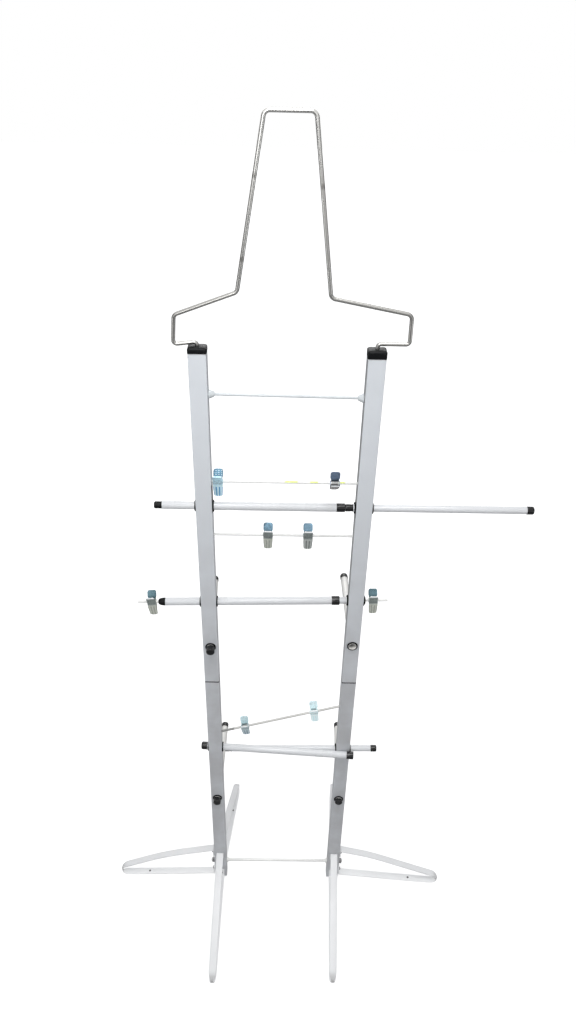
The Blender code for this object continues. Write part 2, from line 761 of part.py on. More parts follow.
def make_hanger():
    """The wire hanger: up out of both caps, along the shoulders, the neck and the top bar."""
    left = POST_X["left"]
    right = POST_X["right"]
    low = HANGER_FOOT_HEIGHT - WIRE_SEAT
    corners = [
        (left, 0, low),
        (left, 0, HANGER_FOOT_HEIGHT),
        (-HANGER_FOOT_LEFT, 0, HANGER_FOOT_HEIGHT),
        (-HANGER_SHOULDER + HANGER_SHOULDER_LEAN, 0, HANGER_SHOULDER_LEFT_HEIGHT),
        (-HANGER_NECK_LEFT, 0, HANGER_NECK_HEIGHT),
        (-HANGER_TOP_HALF, 0, HANGER_HEIGHT),
        (HANGER_TOP_HALF, 0, HANGER_HEIGHT),
        (HANGER_NECK_RIGHT, 0, HANGER_NECK_HEIGHT),
        (HANGER_SHOULDER + HANGER_SHOULDER_LEAN, 0, HANGER_SHOULDER_RIGHT_HEIGHT),
        (HANGER_FOOT_RIGHT, 0, HANGER_FOOT_HEIGHT),
        (right, 0, HANGER_FOOT_HEIGHT),
        (right, 0, low),
    ]
    radii = [WIRE_BEND] * len(corners)
    radii[1] = WIRE_SEAT_BEND
    radii[-2] = WIRE_SEAT_BEND
    path = rounded(corners, radii, HANGER_BEND_STEPS)
    curve = bpy.data.curves.new("hanger", "CURVE")
    curve.dimensions = "3D"
    curve.bevel_depth = WIRE_RADIUS
    curve.bevel_resolution = 2
    curve.use_fill_caps = True
    spline = curve.splines.new("POLY")
    spline.points.add(len(path) - 1)
    for point, corner in zip(spline.points, path):
        point.co = (*corner, 1)
    curve_part("hanger", curve, BRIGHT_WIRE, Matrix.Identity(4)).data.shade_smooth()


# Tie rods

def mirrored(profile):
    """A profile that runs from its far end to the middle, with its mirror image after it."""
    return profile + [(radius, -height) for radius, height in reversed(profile)]


def make_tie_rods():
    """The two rods that tie the posts together: collars or cone nuts inside, nuts outside."""
    inner = POST_SPACING / 2 - SIDE_FACE
    outer = POST_SPACING / 2 + SIDE_FACE
    across = Vector((1, 0, 0))
    end = outer + NUT_THICKNESS + ROD_END
    low = frame_along((0, 0, LOWER_ROD_HEIGHT), across)
    collared = [
        (0, end),
        (LOWER_ROD_RADIUS, end),
        (LOWER_ROD_RADIUS, inner - GAP),
        (COLLAR_RADIUS, inner - GAP),
        (COLLAR_RADIUS, inner - COLLAR_THICKNESS),
        (LOWER_ROD_RADIUS, inner - COLLAR_THICKNESS),
    ]
    turned("tie_rod_lower", mirrored(collared), ROD_PAINT, low)
    coned = [
        (0, inner + RAIL_INSERT),
        (UPPER_ROD_RADIUS, inner + RAIL_INSERT),
        (UPPER_ROD_RADIUS, inner - GAP),
        (CONE_BASE_RADIUS, inner - GAP),
        (CONE_BASE_RADIUS, inner - CONE_RIM),
        (CONE_NOSE_RADIUS, inner - CONE_NUT_LENGTH),
        (UPPER_ROD_RADIUS, inner - CONE_NUT_LENGTH),
    ]
    turned("tie_rod_upper", mirrored(coned), ROD_PAINT, frame_along((0, 0, UPPER_ROD_HEIGHT), across))
    bore = around(LOWER_ROD_RADIUS + GAP, NUT_SIDES)
    nut = [(NUT_RADIUS, NUT_THICKNESS), (NUT_RADIUS, GAP), (bore, GAP), (bore, NUT_THICKNESS)]
    for side in POST_X:
        seat = Vector((OUTWARD[side] * outer, 0, LOWER_ROD_HEIGHT))
        turned("tie_rod_nut_" + side, nut, BOLT_STEEL, frame_along(seat, across * OUTWARD[side]), NUT_SIDES)


# Legs

def leg_frame(name):
    """Where a leg meets its post and how it lies: local X outward, local Y up, local Z across the bar."""
    side, (face_x, face_y), reach, sweep = LEGS[name]
    normal = Vector((face_x, face_y, 0))
    across = Vector((abs(face_y), abs(face_x), 0))
    way = (normal * reach + across * sweep).normalized()
    half_depth = SIDE_FACE if face_x else FRONT_FACE
    seat = GAP + BAR_WIDTH / 2 * abs(sweep) / reach
    point = Vector((POST_X[side], 0, 0)) + normal * (half_depth + seat)
    turn = Matrix((way, UP, way.cross(UP))).transposed().to_4x4()
    return Matrix.Translation(point) @ turn


def leg_bolts(name):
    """The two bolts of a leg: where each passes the tab's back, and its way out."""
    frame = leg_frame(name)
    way = frame.to_3x3() @ Vector((1, 0, 0))
    heights = (LEG_TOP - BOLT_FROM_BEND, LEG_LOW + BOLT_FROM_BEND)
    return [(frame @ Vector((0, height, 0)), way) for height in heights]


def strip_outline(path, thickness):
    """Closed outline of a bent strip from its middle line."""
    left_side = []
    right_side = []
    for index, point in enumerate(path):
        before = path[max(index - 1, 0)]
        after = path[min(index + 1, len(path) - 1)]
        arrive = (point - before).normalized() if index else (after - point).normalized()
        leave = (after - point).normalized() if index < len(path) - 1 else arrive
        along = (arrive + leave).normalized()
        widen = 1 / math.sqrt((1 + arrive.dot(leave)) / 2)
        square = Vector((-along.y, along.x, 0)) * (thickness / 2 * widen)
        left_side.append(point + square)
        right_side.append(point - square)
    return [(point.x, point.y) for point in left_side + right_side[::-1]]


def trim_tip(leg, reach, frame):
    """Round the tip as seen from above, with an outline that stands a margin clear of the bar elsewhere."""
    half = BAR_WIDTH / 2 + LEG_TIP_MARGIN
    middle = reach + LEG_TIP_MARGIN - LEG_TIP_ROUNDING
    outline = [(-OVERRUN, -half)]
    for step in range(-LEG_TIP_STEPS, LEG_TIP_STEPS + 1):
        turn = math.pi / 2 * step / LEG_TIP_STEPS
        outline.append((middle + LEG_TIP_ROUNDING * math.cos(turn), half * math.sin(turn)))
    outline.append((-OVERRUN, half))
    shape = bmesh.new()
    low = [shape.verts.new((out, -OVERRUN, across)) for out, across in outline]
    high = [shape.verts.new((out, LEG_TOP + OVERRUN, across)) for out, across in outline]
    shape.faces.new(low)
    shape.faces.new(high)
    for index, corner in enumerate(low):
        shape.faces.new((low[index - 1], corner, high[index], high[index - 1]))
    bmesh.ops.recalc_face_normals(shape, faces=shape.faces)
    mesh = bpy.data.meshes.new(leg.name + "_plan")
    shape.to_mesh(mesh)
    shape.free()
    guide = add_guide(leg.name + "_plan", mesh)
    guide.matrix_local = frame
    combine(leg, guide, "INTERSECT")


def make_leg(name):
    """One hairpin leg: a bolted tab, down to the tip, back under, and a second bolted tab."""
    reach = LEGS[name][2]
    middle = BAR_THICKNESS / 2
    tip = reach - middle
    corners = [
        (middle, LEG_TOP - LEG_TAB, 0),
        (middle, LEG_TOP, 0),
        (tip, middle + 2 * LEG_TIP_BEND, 0),
        (tip, middle, 0),
        (reach - LEG_FLAT, middle, 0),
        (middle, LEG_LOW, 0),
        (middle, LEG_LOW + LEG_TAB, 0),
    ]
    radii = [0, LEG_ROOT_BEND, LEG_TIP_BEND / 2, LEG_TIP_BEND, LEG_ROOT_BEND, LEG_ROOT_BEND, 0]
    path = rounded(corners, radii, LEG_BEND_STEPS)
    frame = leg_frame(name)
    leg = flat_outline(name, [strip_outline(path, BAR_THICKNESS)], BAR_WIDTH, LEG_PAINT, frame)
    trim_tip(leg, reach, frame)
    bolts = []
    for point, way in leg_bolts(name):
        seat = BAR_THICKNESS * BOLT_HEAD_SEAT_SHARE
        head_end = point + way * (BAR_THICKNESS + BOLT_HEAD_HEIGHT)
        bolts.append((point + way * seat, head_end, BOLT_HEAD_RADIUS, BOLT_HEAD_RADIUS))
        shank_start = point - way * (BOLT_PAST_WALL - GAP)
        shank_end = point + way * (BAR_THICKNESS - seat)
        bolts.append((shank_start, shank_end, BOLT_SHANK_RADIUS, BOLT_SHANK_RADIUS))
    joined(leg, bolts)
    hole = frame @ Vector((reach - LEG_HOLE_FROM_TIP, 0, 0))
    drilled(leg, [(hole - UP * OVERRUN, hole + UP * (LEG_LOW - BAR_THICKNESS), LEG_HOLE_RADIUS)])


# Clips

def clip_rows():
    """Side view of a clip plate, from the handle's edge to the jaw's lip: height, distance from the rod
    and whether the ribs show there."""
    fold = CLIP_EAR_RADIUS
    return [
        (CLIP_HANDLE_HEIGHT, CLIP_HANDLE_SPLAY, False),
        (fold, CLIP_WAIST, False),
        (-fold, CLIP_WAIST, False),
        (-CLIP_JAW_SHOULDER, CLIP_JAW_BELLY, True),
        (-CLIP_JAW_LENGTH + CLIP_LIP, CLIP_JAW_TIP + CLIP_RIB_DEPTH, True),
        (-CLIP_JAW_LENGTH, CLIP_JAW_TIP, False),
    ]


def clip_plate(name, half_width, sign, hole_radius, matrix):
    """One plate of a clip, with two ears that the rod passes through."""
    columns = 2 * CLIP_RIBS
    shape = bmesh.new()
    grid = []
    rows = clip_rows()
    for index, (height, out, ribbed) in enumerate(rows):
        narrow = CLIP_CORNER_SHARE if index in (0, len(rows) - 1) else 1
        row = []
        for column in range(columns + 1):
            across = (2 * column / columns - 1) * half_width * narrow
            depth = out - (CLIP_RIB_DEPTH if ribbed and column % 2 else 0)
            row.append(shape.verts.new((across, sign * depth, height)))
        grid.append(row)
    for upper, lower in zip(grid, grid[1:]):
        for column in range(columns):
            shape.faces.new([upper[column], upper[column + 1], lower[column + 1], lower[column]])
    ear = CLIP_EAR_RADIUS
    slant = ear * math.sqrt(0.5)
    for column in (0, columns):
        across = grid[1][column].co.x
        rim = [(0, ear), (-slant, slant), (-ear, 0), (-slant, -slant), (0, -ear)]
        corners = [shape.verts.new((across, sign * out, height)) for out, height in rim]
        shape.faces.new([grid[1][column], *corners, grid[2][column]])
    bmesh.ops.recalc_face_normals(shape, faces=shape.faces)
    mesh = bpy.data.meshes.new(name)
    shape.to_mesh(mesh)
    shape.free()
    plate = add_object(name, mesh, ZINC_PLATE, matrix)
    thicken = plate.modifiers.new("plate", "SOLIDIFY")
    thicken.thickness = CLIP_PLATE
    thicken.offset = 0
    thicken.use_even_offset = True
    cutter = drilled(plate, [((-CLIP_WIDTH, 0, 0), (CLIP_WIDTH, 0, 0), hole_radius)])
    cutter.matrix_local = matrix


def make_clip(name, point, way):
    """A clip on a rod: swung about the rod, and tilted a little as far as its ears allow."""
    side = Vector(way).normalized()
    upright = (UP - side * UP.dot(side)).normalized()
    turn = Matrix((side, upright.cross(side), upright)).transposed().to_4x4()
    tilt = math.radians(CLIP_TILTS.get(name, 0))
    swing = math.radians(CLIP_SWINGS.get(name, 0))
    lean = Matrix.Rotation(swing, 4, "X") @ Matrix.Rotation(tilt, 4, "Y")
    matrix = Matrix.Translation(point) @ turn @ lean
    outer_half = CLIP_WIDTH / 2 - CLIP_PLATE / 2
    inner_half = outer_half - CLIP_PLATE - GAP
    hole = RAIL_RADIUS + GAP + CLIP_WIDTH / 2 * abs(math.tan(tilt))
    clip_plate(name + "_front", outer_half, -1, hole, matrix)
    clip_plate(name + "_back", inner_half, 1, hole, matrix)


def make_clips():
    """The eight clips, two on each rod and one on each stub."""
    places = {
        "clip_1": ("rail_1", CLIP_1_PLACE),
        "clip_2": ("rail_1", CLIP_2_PLACE),
        "clip_3": ("rail_2", CLIP_3_PLACE),
        "clip_4": ("rail_2", CLIP_4_PLACE),
        "clip_7": ("rail_4", CLIP_7_PLACE),
        "clip_8": ("rail_4", CLIP_8_PLACE),
    }
    for name, (rail, place_x) in places.items():
        left, right = RAIL_LINES[rail]
        way = right - left
        make_clip(name, left + way * ((place_x - left.x) / way.x), way)
    stubs = {
        "clip_5": ("arm_b_left", CLIP_5_REACH),
        "clip_6": ("arm_b_right", CLIP_6_REACH),
    }
    for name, (arm, reach) in stubs.items():
        start, way = ARM_LINES[arm]
        make_clip(name, start + way * reach, way * OUTWARD[arm_side(arm)])


# Footprint

def leg_corner(name):
    """How far a leg's tip reaches from the post's middle, along the normal of its face."""
    _, (face_x, _), reach, sweep = LEGS[name]
    half_depth = SIDE_FACE if face_x else FRONT_FACE
    seat = GAP + BAR_WIDTH / 2 * abs(sweep) / reach
    cut = 1 - LEG_TIP_MARGIN / LEG_TIP_ROUNDING
    half_tip = (BAR_WIDTH / 2 + LEG_TIP_MARGIN) * math.sqrt(1 - cut * cut)
    return half_depth + seat + (reach * reach + half_tip * abs(sweep)) / math.hypot(reach, sweep)


def footprint_centre():
    """Middle of the rack's outer box, seen from above."""
    left = -POST_SPACING / 2 - leg_corner("leg_side_left")
    right = POST_SPACING / 2 + max(leg_corner("leg_side_right"), ARM_A_RIGHT_REACH + END_DOME)
    front = -max(leg_corner("leg_front_left"), leg_corner("leg_front_right"))
    rear = max(leg_corner("leg_rear_left"), leg_corner("leg_rear_right"))
    return Vector(((left + right) / 2, (front + rear) / 2, 0))


def make_frame():
    """The empty that carries the rack, so that the origin is at the middle of the footprint."""
    empty = bpy.data.objects.new("rack_frame", None)
    RACK.objects.link(empty)
    empty.location = -footprint_centre()
    return empty


RACK_FRAME = make_frame()
for post_side in POST_X:
    make_post(post_side)
    make_sleeve(post_side)
    make_post_cap(post_side)
make_hanger()
make_tie_rods()
for leg_name in LEGS:
    make_leg(leg_name)
for arm_name in ARM_LINES:
    make_arm(arm_name)
for rail_name in RAIL_LINES:
    make_rail(rail_name)
make_stub("rail_3_left", "arm_b_left", STUB_LEFT_REACH)
make_stub("rail_3_right", "arm_b_right", STUB_RIGHT_REACH)
make_clips()
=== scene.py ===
"""Looks of the free-standing gear rack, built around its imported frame.

Every place is in metres. Places are first given from the floor midway between the posts, and MIDDLE moves
them into the frame."""
import json
import math

import bpy
import numpy as np
from mathutils import Matrix, Vector


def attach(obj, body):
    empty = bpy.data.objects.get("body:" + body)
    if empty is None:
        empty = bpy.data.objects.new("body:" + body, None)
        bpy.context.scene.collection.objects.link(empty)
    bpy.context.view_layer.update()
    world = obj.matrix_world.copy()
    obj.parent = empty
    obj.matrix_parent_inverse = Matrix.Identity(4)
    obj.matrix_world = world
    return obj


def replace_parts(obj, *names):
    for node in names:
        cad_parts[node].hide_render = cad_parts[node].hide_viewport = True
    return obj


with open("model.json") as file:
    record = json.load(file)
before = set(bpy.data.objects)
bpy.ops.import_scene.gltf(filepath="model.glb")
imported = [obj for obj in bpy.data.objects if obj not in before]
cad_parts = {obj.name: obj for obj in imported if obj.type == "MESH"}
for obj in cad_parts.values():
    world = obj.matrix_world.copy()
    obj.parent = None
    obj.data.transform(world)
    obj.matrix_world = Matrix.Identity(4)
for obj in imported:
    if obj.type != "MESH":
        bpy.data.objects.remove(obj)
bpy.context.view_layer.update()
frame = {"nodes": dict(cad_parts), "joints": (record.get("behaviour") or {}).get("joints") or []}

JOINTS = {joint["name"]: joint for joint in frame["joints"]}
MIDDLE = np.array((-0.029616, -0.005998, 0.0))
UP = np.array((0.0, 0.0, 1.0))


# Node materials

class Value:
    """A shader socket that Python's operators work on. Each operator adds its Math node."""

    def __init__(self, finish, socket):
        self.finish = finish
        self.socket = socket

    def math(self, operation, first, second=0.0):
        return self.finish.node("Math", {0: first, 1: second}, operation=operation)

    def __add__(self, other):
        return self.math("ADD", self, other)

    def __sub__(self, other):
        return self.math("SUBTRACT", self, other)

    def __rsub__(self, other):
        return self.math("SUBTRACT", other, self)

    def __mul__(self, other):
        return self.math("MULTIPLY", self, other)

    def __pow__(self, other):
        return self.math("POWER", self, other)

    def __abs__(self):
        return self.math("ABSOLUTE", self)

    def wave(self):
        """Cosine, from nought to one."""
        return self.math("COSINE", self) * 0.5 + 0.5

    def ease(self, low, high, start=0.0, end=1.0):
        """Smooth step from start to end while the value goes from low to high."""
        inputs = {"Value": self, "From Min": low, "From Max": high, "To Min": start, "To Max": end}
        return self.finish.node("MapRange", inputs, interpolation_type="SMOOTHSTEP")

    __radd__ = __add__
    __rmul__ = __mul__


class Finish:
    """A Principled material whose other nodes are added one at a time. Its slot is the record's."""

    def __init__(self, name, slot, colour, roughness, metallic=0.0, **fixed):
        self.slot = slot
        self.material = bpy.data.materials.new(name + "_look")
        self.material.use_nodes = True
        self.tree = self.material.node_tree
        self.shader = self.tree.nodes["Principled BSDF"]
        self.set("Base Color", (*colour, 1))
        self.set("Roughness", roughness)
        self.set("Metallic", metallic)
        for socket, value in fixed.items():
            self.set(socket.replace("_", " "), value)

    def set(self, socket, value):
        self.join(self.shader.inputs[socket], value)

    def join(self, socket, value):
        if isinstance(value, Value):
            self.tree.links.new(value.socket, socket)
        else:
            socket.default_value = value

    def node(self, kind, inputs=(), output=0, **settings):
        made = self.tree.nodes.new("ShaderNode" + kind)
        for key, value in settings.items():
            setattr(made, key, value)
        for key, value in dict(inputs).items():
            self.join(made.inputs[key], value)
        return Value(self, made.outputs[output])

    def place(self):
        """Where a point is, in metres of the frame."""
        return self.node("TexCoord", output=3)

    def along(self, axis):
        """One coordinate of the place."""
        return self.node("SeparateXYZ", {0: self.place()}, output="XYZ".index(axis))

    def noise(self, size, detail=3.0, stretch=(1, 1, 1)):
        """Noise whose grains are about this size in metres, longer along an axis that is stretched."""
        squeeze = tuple(1 / share for share in stretch)
        scaled = self.node("VectorMath", {0: self.place(), 1: squeeze}, operation="MULTIPLY")
        inputs = {"Vector": scaled, "Scale": 1 / size, "Detail": detail, "Roughness": 0.6}
        return self.node("TexNoise", inputs)

    def grid(self, axis):
        """Share of the way along one direction of a piece's own grid."""
        return self.node("SeparateXYZ", {0: self.node("TexCoord", output=2)}, output="XYZ".index(axis))

    def near(self, point, radius):
        """One at a point, falling to zero at the radius."""
        away = self.node("VectorMath", {0: self.place(), 1: tuple(point)}, output=1, operation="DISTANCE")
        return away.ease(0.0, radius, 1.0, 0.0)

    def blend(self, first, second, share):
        """Colour between two, the second where share is one."""
        return self.node("Mix", {0: share, 6: colour4(first), 7: colour4(second)}, output=2, data_type="RGBA")

    def relief(self, height, depth, strength=1.0):
        """Bump from a height of 0 to 1 that stands for a depth in metres."""
        self.set("Normal", self.node("Bump", {"Height": height, "Distance": depth, "Strength": strength}))


def colour4(colour):
    """A colour or a socket, ready for a colour input."""
    return colour if isinstance(colour, Value) else (*colour, 1)


def painted(name, slot, colour, low_shade_colour, roughness, grime, rise, shaded=()):
    """Powder coat: a fine orange peel, faint clouding, a few rubbed streaks, and painted shade that darkens
    it low down.

    rise is where the painted shade low down ends and the colour begins. Each side in shaded gets painted
    shade too. It is given by its place across, the heights of its stretch of near-black painted shadow, and
    how much painted shade it has high up."""
    coat = {"Specular_IOR_Level": 0.45, "Coat_Weight": 0.12, "Coat_Roughness": 0.25}
    finish = Finish(name, slot, colour, roughness, **coat)
    cloud = finish.noise(0.09).ease(0.35, 0.7)
    streak = finish.noise(0.004, 4.0, (1, 1, 22)).ease(0.62, 0.78)
    # Painted shade: darker low down
    tone = finish.blend(low_shade_colour, colour, finish.along("Z").ease(*rise))
    tone = finish.blend(tone, tuple(c * 0.93 for c in colour), cloud * grime)
    tone = finish.blend(tone, tuple(c * 0.78 for c in colour), streak * (grime * 0.5))
    for x, low, high, share in shaded:
        side = abs(finish.along("X") - x).ease(0.0004, 0.001, 1.0, 0.0)
        height = finish.along("Z")
        stretch = height.ease(low - 0.004, low) * height.ease(high, high + 0.004, 1.0, 0.0)
        # Painted shade on the post's inner side, stronger high up
        tone = finish.blend(tone, tuple(c * 0.38 for c in low_shade_colour), side * height.ease(0.85, 1.1) * share)
        # Near-black painted shadow over a short stretch of the inner side
        tone = finish.blend(tone, (0.02, 0.021, 0.022), side * stretch)
    finish.set("Base Color", tone)
    finish.set("Roughness", roughness + (cloud - 0.5) * 0.08 + streak * 0.1)
    peel = finish.noise(0.0014, 2.0) * 0.6 + finish.noise(0.02, 1.0) * 0.4
    finish.relief(peel, 0.0001, 0.35)
    return finish


def tube_enamel(name, colour, shade, mouth=None, slant=0.0):
    """White enamel on drawn tube: bright, a little wavy, with faint darker rubbed patches.

    A tube with an open mouth gets near-black painted shade inside, from a little way behind the mouth. slant
    is how far its line moves along X for each metre to the rear."""
    finish = Finish(name, "tube_paint", colour, 0.3, **{"Coat_Weight": 0.25, "Coat_Roughness": 0.15})
    cloud = finish.noise(0.05).ease(0.3, 0.7)
    rub = finish.noise(0.003, 4.0, (12, 12, 12)).ease(0.6, 0.8)
    fleck = finish.noise(0.0022, 2.0).ease(0.72, 0.78)
    tone = finish.blend(colour, shade, cloud * 0.35)
    tone = finish.blend(tone, tuple(c * 0.8 for c in shade), rub * 0.2)
    tone = finish.blend(tone, (0.45, 0.44, 0.42), fleck * 0.35)
    if mouth is not None:
        x, y, z = (finish.along(axis) - float(middle) for axis, middle in zip("XYZ", mouth))
        x = x - y * slant
        # Painted shade inside the open mouth
        inside = ((x * x + z * z) ** 0.5).ease(0.00875, 0.0091, 1.0, 0.0) * y.ease(0.009, 0.017)
        tone = finish.blend(tone, (0.03, 0.03, 0.035), inside)
    finish.set("Base Color", tone)
    finish.set("Roughness", 0.26 + cloud * 0.1 + rub * 0.08)
    finish.relief(finish.noise(0.0025, 2.0) * 0.5 + finish.noise(0.018, 1.0) * 0.5, 0.00008, 0.4)
    return finish


def black_moulding(name, slot, roughness, spark, gloss):
    """Black plastic: fine moulded grain, paler rubbed patches and a little gloss variation."""
    finish = Finish(name, slot, (0.014, 0.015, 0.017), roughness, **{"Specular_IOR_Level": gloss})
    grain = finish.noise(0.0006, 2.0)
    worn = finish.noise(0.006, 4.0).ease(0.5, 0.75)
    finish.set("Base Color", finish.blend((0.004, 0.0045, 0.005), (0.03, 0.032, 0.035), worn * spark))
    finish.set("Roughness", roughness + worn * 0.16 + (grain - 0.5) * 0.1)
    finish.relief(grain, 0.00006, 0.45)
    return finish


def drawn_wire():
    """Bright plated wire: lines along the wire, hazy patches, painted shade on its lower part, and dark
    scorched spots where it was welded.
    """
    bright = (0.64, 0.635, 0.615)
    finish = Finish("bright_wire", "bright_wire", bright, 0.2, 1.0)
    haze = finish.noise(0.05, 1.0).ease(0.35, 0.7)
    lines = finish.noise(0.004, 1.0, (1, 1, 30))
    # Painted shade on the wire below a height of 1.835 m
    low = finish.along("Z").ease(1.835, 1.85, 1.0, 0.0)
    tone = finish.blend(bright, (0.50, 0.49, 0.47), haze * 0.5)
    tone = finish.blend(tone, (0.36, 0.355, 0.34), low * 0.7)
    for x, z in ((-0.0622, 2.0414), (-0.0842, 1.9013), (0.0548, 2.0263)):
        spot = finish.near(MIDDLE + (x, 0.0, z), 0.009)
        tone = finish.blend(tone, (0.06, 0.05, 0.04), spot * 0.85)
    finish.set("Base Color", tone)
    finish.set("Roughness", 0.24 + haze * 0.08 + lines * 0.04)
    finish.relief(lines, 0.00002, 0.1)
    return finish


def zinc(name, slot, colour, dull, roughness):
    """Zinc plate: a clouded crystal bloom and fine scratches."""
    finish = Finish(name, slot, colour, roughness, 1.0)
    bloom = finish.node("TexVoronoi", {"Vector": finish.place(), "Scale": 420.0}, output=0)
    cloud = finish.noise(0.008, 4.0).ease(0.35, 0.7)
    scratch = finish.noise(0.0005, 3.0, (1, 1, 9)).ease(0.6, 0.75)
    finish.set("Base Color", finish.blend(finish.blend(colour, dull, cloud * 0.6), dull, bloom * 0.35))
    finish.set("Roughness", roughness + cloud * 0.14 + scratch * 0.1)
    finish.relief(scratch * 0.5 + bloom * 0.5, 0.00004, 0.35)
    return finish


def clip_metal(name, handle, jaw, groove, glint=0.0, dotted=0.0, glow=0.0):
    """Blue zinc on a clip's plate: one tone on the handle, a duller one on the jaw with painted shade in its
    grooves and along a line at the waist, cloudy patches and scratches. A front plate has a painted highlight
    on the rolled edge of its handle. Where glow is given the plate glows a little, which is painted light.
    One clip has pale dots."""
    finish = Finish(name, "zinc_plate", handle, 0.3, 0.85)
    across, down = finish.grid("X"), finish.grid("Y")
    cloud = finish.noise(0.004, 4.0).ease(0.35, 0.65)
    scratch = finish.noise(0.0005, 3.0, (1, 1, 9)).ease(0.55, 0.75)
    tone = finish.blend(handle, jaw, down.ease(0.42, 0.50))
    tone = finish.blend(tone, tuple(c * 0.45 for c in handle), cloud * down.ease(0.40, 0.50, 0.6, 0.25))
    # Painted shade along a line at the waist, where the plate bends round the rod
    tone = finish.blend(tone, tuple(c * 0.4 for c in handle), abs(down - 0.38).ease(0.01, 0.035, 0.4, 0.0))
    # Painted shade in the jaw's grooves
    groove_shade = (across * (6 * math.pi)).wave().ease(0.35, 0.9) * down.ease(0.50, 0.56)
    tone = finish.blend(tone, groove, groove_shade)
    if dotted:
        dots = (across * (7 * math.pi)).wave() * (down * 100.0).wave() * down.ease(0.27, 0.30, 1.0, 0.0)
        tone = finish.blend(tone, (0.90, 0.94, 0.95), dots.ease(0.6, 0.85) * dotted)
    # Painted highlight along the front plate's rolled edge, where the metal is turned off
    rolled_edge_glint = down.ease(0.045, 0.065, 1.0, 0.0) * glint
    tone = finish.blend(tone, (0.95, 0.97, 0.98), rolled_edge_glint)
    tone = finish.blend(tone, tuple(min(c * 1.5, 0.95) for c in handle), scratch * 0.3)
    finish.set("Base Color", tone)
    # Painted light: the plate glows a little in its own tone
    if glow:
        finish.set("Emission Strength", 1.0)
        finish.set("Emission Color", finish.blend((0, 0, 0), tone, glow))
    finish.set("Roughness", 0.26 + cloud * 0.16 + scratch * 0.1)
    finish.set("Metallic", (0.85 - down.ease(0.38, 0.48) * 0.65) * (1.0 - rolled_edge_glint) * (1.0 - glow))
    finish.relief(scratch * 0.5 + cloud * 0.5, 0.00005, 0.35)
    return finish


def rod_coat(name, colour, glow, tint=None, tinted=(), above=None):
    """Plastic-coated rod: milky white, glossy, thinner in places, with a faint glow that is painted light. It
    may be tinted along some stretches, and there only above a height; on rail 1 that tint is a painted
    yellow-green glint on the rod's upper side."""
    coat = {"Coat_Weight": 0.3, "Coat_Roughness": 0.1, "Emission_Strength": 1.0}
    finish = Finish(name, "rod_paint", colour, 0.28, **coat)
    # Painted light: the coat glows a little
    finish.set("Emission Color", (glow, glow, glow * 0.96, 1))
    cloud = finish.noise(0.02).ease(0.35, 0.7)
    tone = finish.blend(colour, tuple(c * 0.86 for c in colour), cloud * 0.6)
    for low, high in tinted:
        x = finish.along("X")
        stretch = x.ease(low - 0.002, low + 0.002) * x.ease(high - 0.002, high + 0.002, 1.0, 0.0)
        if above is not None:
            stretch = stretch * finish.along("Z").ease(above, above + 0.0016)
        tone = finish.blend(tone, tint, stretch)
    finish.set("Base Color", tone)
    finish.set("Roughness", 0.22 + cloud * 0.14)
    finish.relief(finish.noise(0.003, 2.0), 0.00008, 0.35)
    return finish


POST_SPACING = 0.343
POST_X = {"left": -POST_SPACING / 2, "right": POST_SPACING / 2}
OUTWARD = {"left": -1, "right": 1}
POST_WIDTH = 0.036
POST_DEPTH = 0.0275
POST_GAP = (POST_SPACING - POST_WIDTH) / 2
POST_REACH = (POST_SPACING + POST_WIDTH) / 2
# For each post's inner side, which gets painted shade: its place across, the heights of its near-black
# painted shadow, and how much painted shade it has high up
SHADED_INNER_SIDES = [(float(MIDDLE[0] + OUTWARD[side] * POST_GAP), low, high, share)
               for side, low, high, share in (("left", 1.367, 1.432, 0.2), ("right", 1.36, 1.39, 0.75))]
# Post paint high up, and the darker tone low down, which is painted shade
POST_TONES = (0.88, 0.915, 0.955), (0.60, 0.605, 0.62)
POST = painted("post_paint", "post_paint", *POST_TONES, 0.42, 0.5, (0.6, 1.75), SHADED_INNER_SIDES)
TUBE = tube_enamel("tube_paint", (0.82, 0.83, 0.845), (0.75, 0.765, 0.785))
# The front-to-back arms, the open one too, have the white enamel in a cream tone that is painted warm light
CROSS = tube_enamel("cross_tube_paint", (0.86, 0.85, 0.82), (0.80, 0.785, 0.75))
OPEN_MOUTH = MIDDLE + (0.17173, -0.017, 0.9859)
OPEN = tube_enamel("open_tube_paint", (0.86, 0.85, 0.82), (0.80, 0.785, 0.75), OPEN_MOUTH, -0.0035 / 0.26)
MOULDED = black_moulding("black_plastic", "black_plastic", 0.4, 0.4, 0.15)
GLOSSY = black_moulding("black_plug", "black_plastic", 0.16, 0.7, 0.4)
WIRE = drawn_wire()
# Each clip's tones: its handle behind, its front plate's upper half, its jaws and their grooves. Besides the
# blue zinc they hold painted light and shade as it falls on that clip, and the grooves' tones are painted
# shade.
TONES = {
    "slate": ((0.13, 0.22, 0.29), (0.44, 0.49, 0.48), (0.74, 0.76, 0.67), (0.46, 0.48, 0.43)),
    "striped": ((0.16, 0.26, 0.34), (0.42, 0.47, 0.46), (0.66, 0.69, 0.66), (0.24, 0.26, 0.25)),
    "teal": ((0.10, 0.17, 0.20), (0.48, 0.54, 0.52), (0.76, 0.78, 0.69), (0.46, 0.48, 0.42)),
    "dark": ((0.27, 0.35, 0.48), (0.18, 0.20, 0.23), (0.56, 0.54, 0.54), (0.36, 0.35, 0.35)),
    "blue": ((0.10, 0.20, 0.28), (0.62, 0.88, 1.00), (0.66, 0.90, 1.00), (0.10, 0.32, 0.55)),
    "pale": ((0.60, 0.76, 0.80), (0.62, 0.76, 0.80), (0.60, 0.72, 0.76), (0.24, 0.34, 0.42)),
    "bright": ((0.55, 0.68, 0.71), (0.80, 0.95, 0.97), (0.84, 0.98, 1.00), (0.60, 0.80, 0.84)),
}
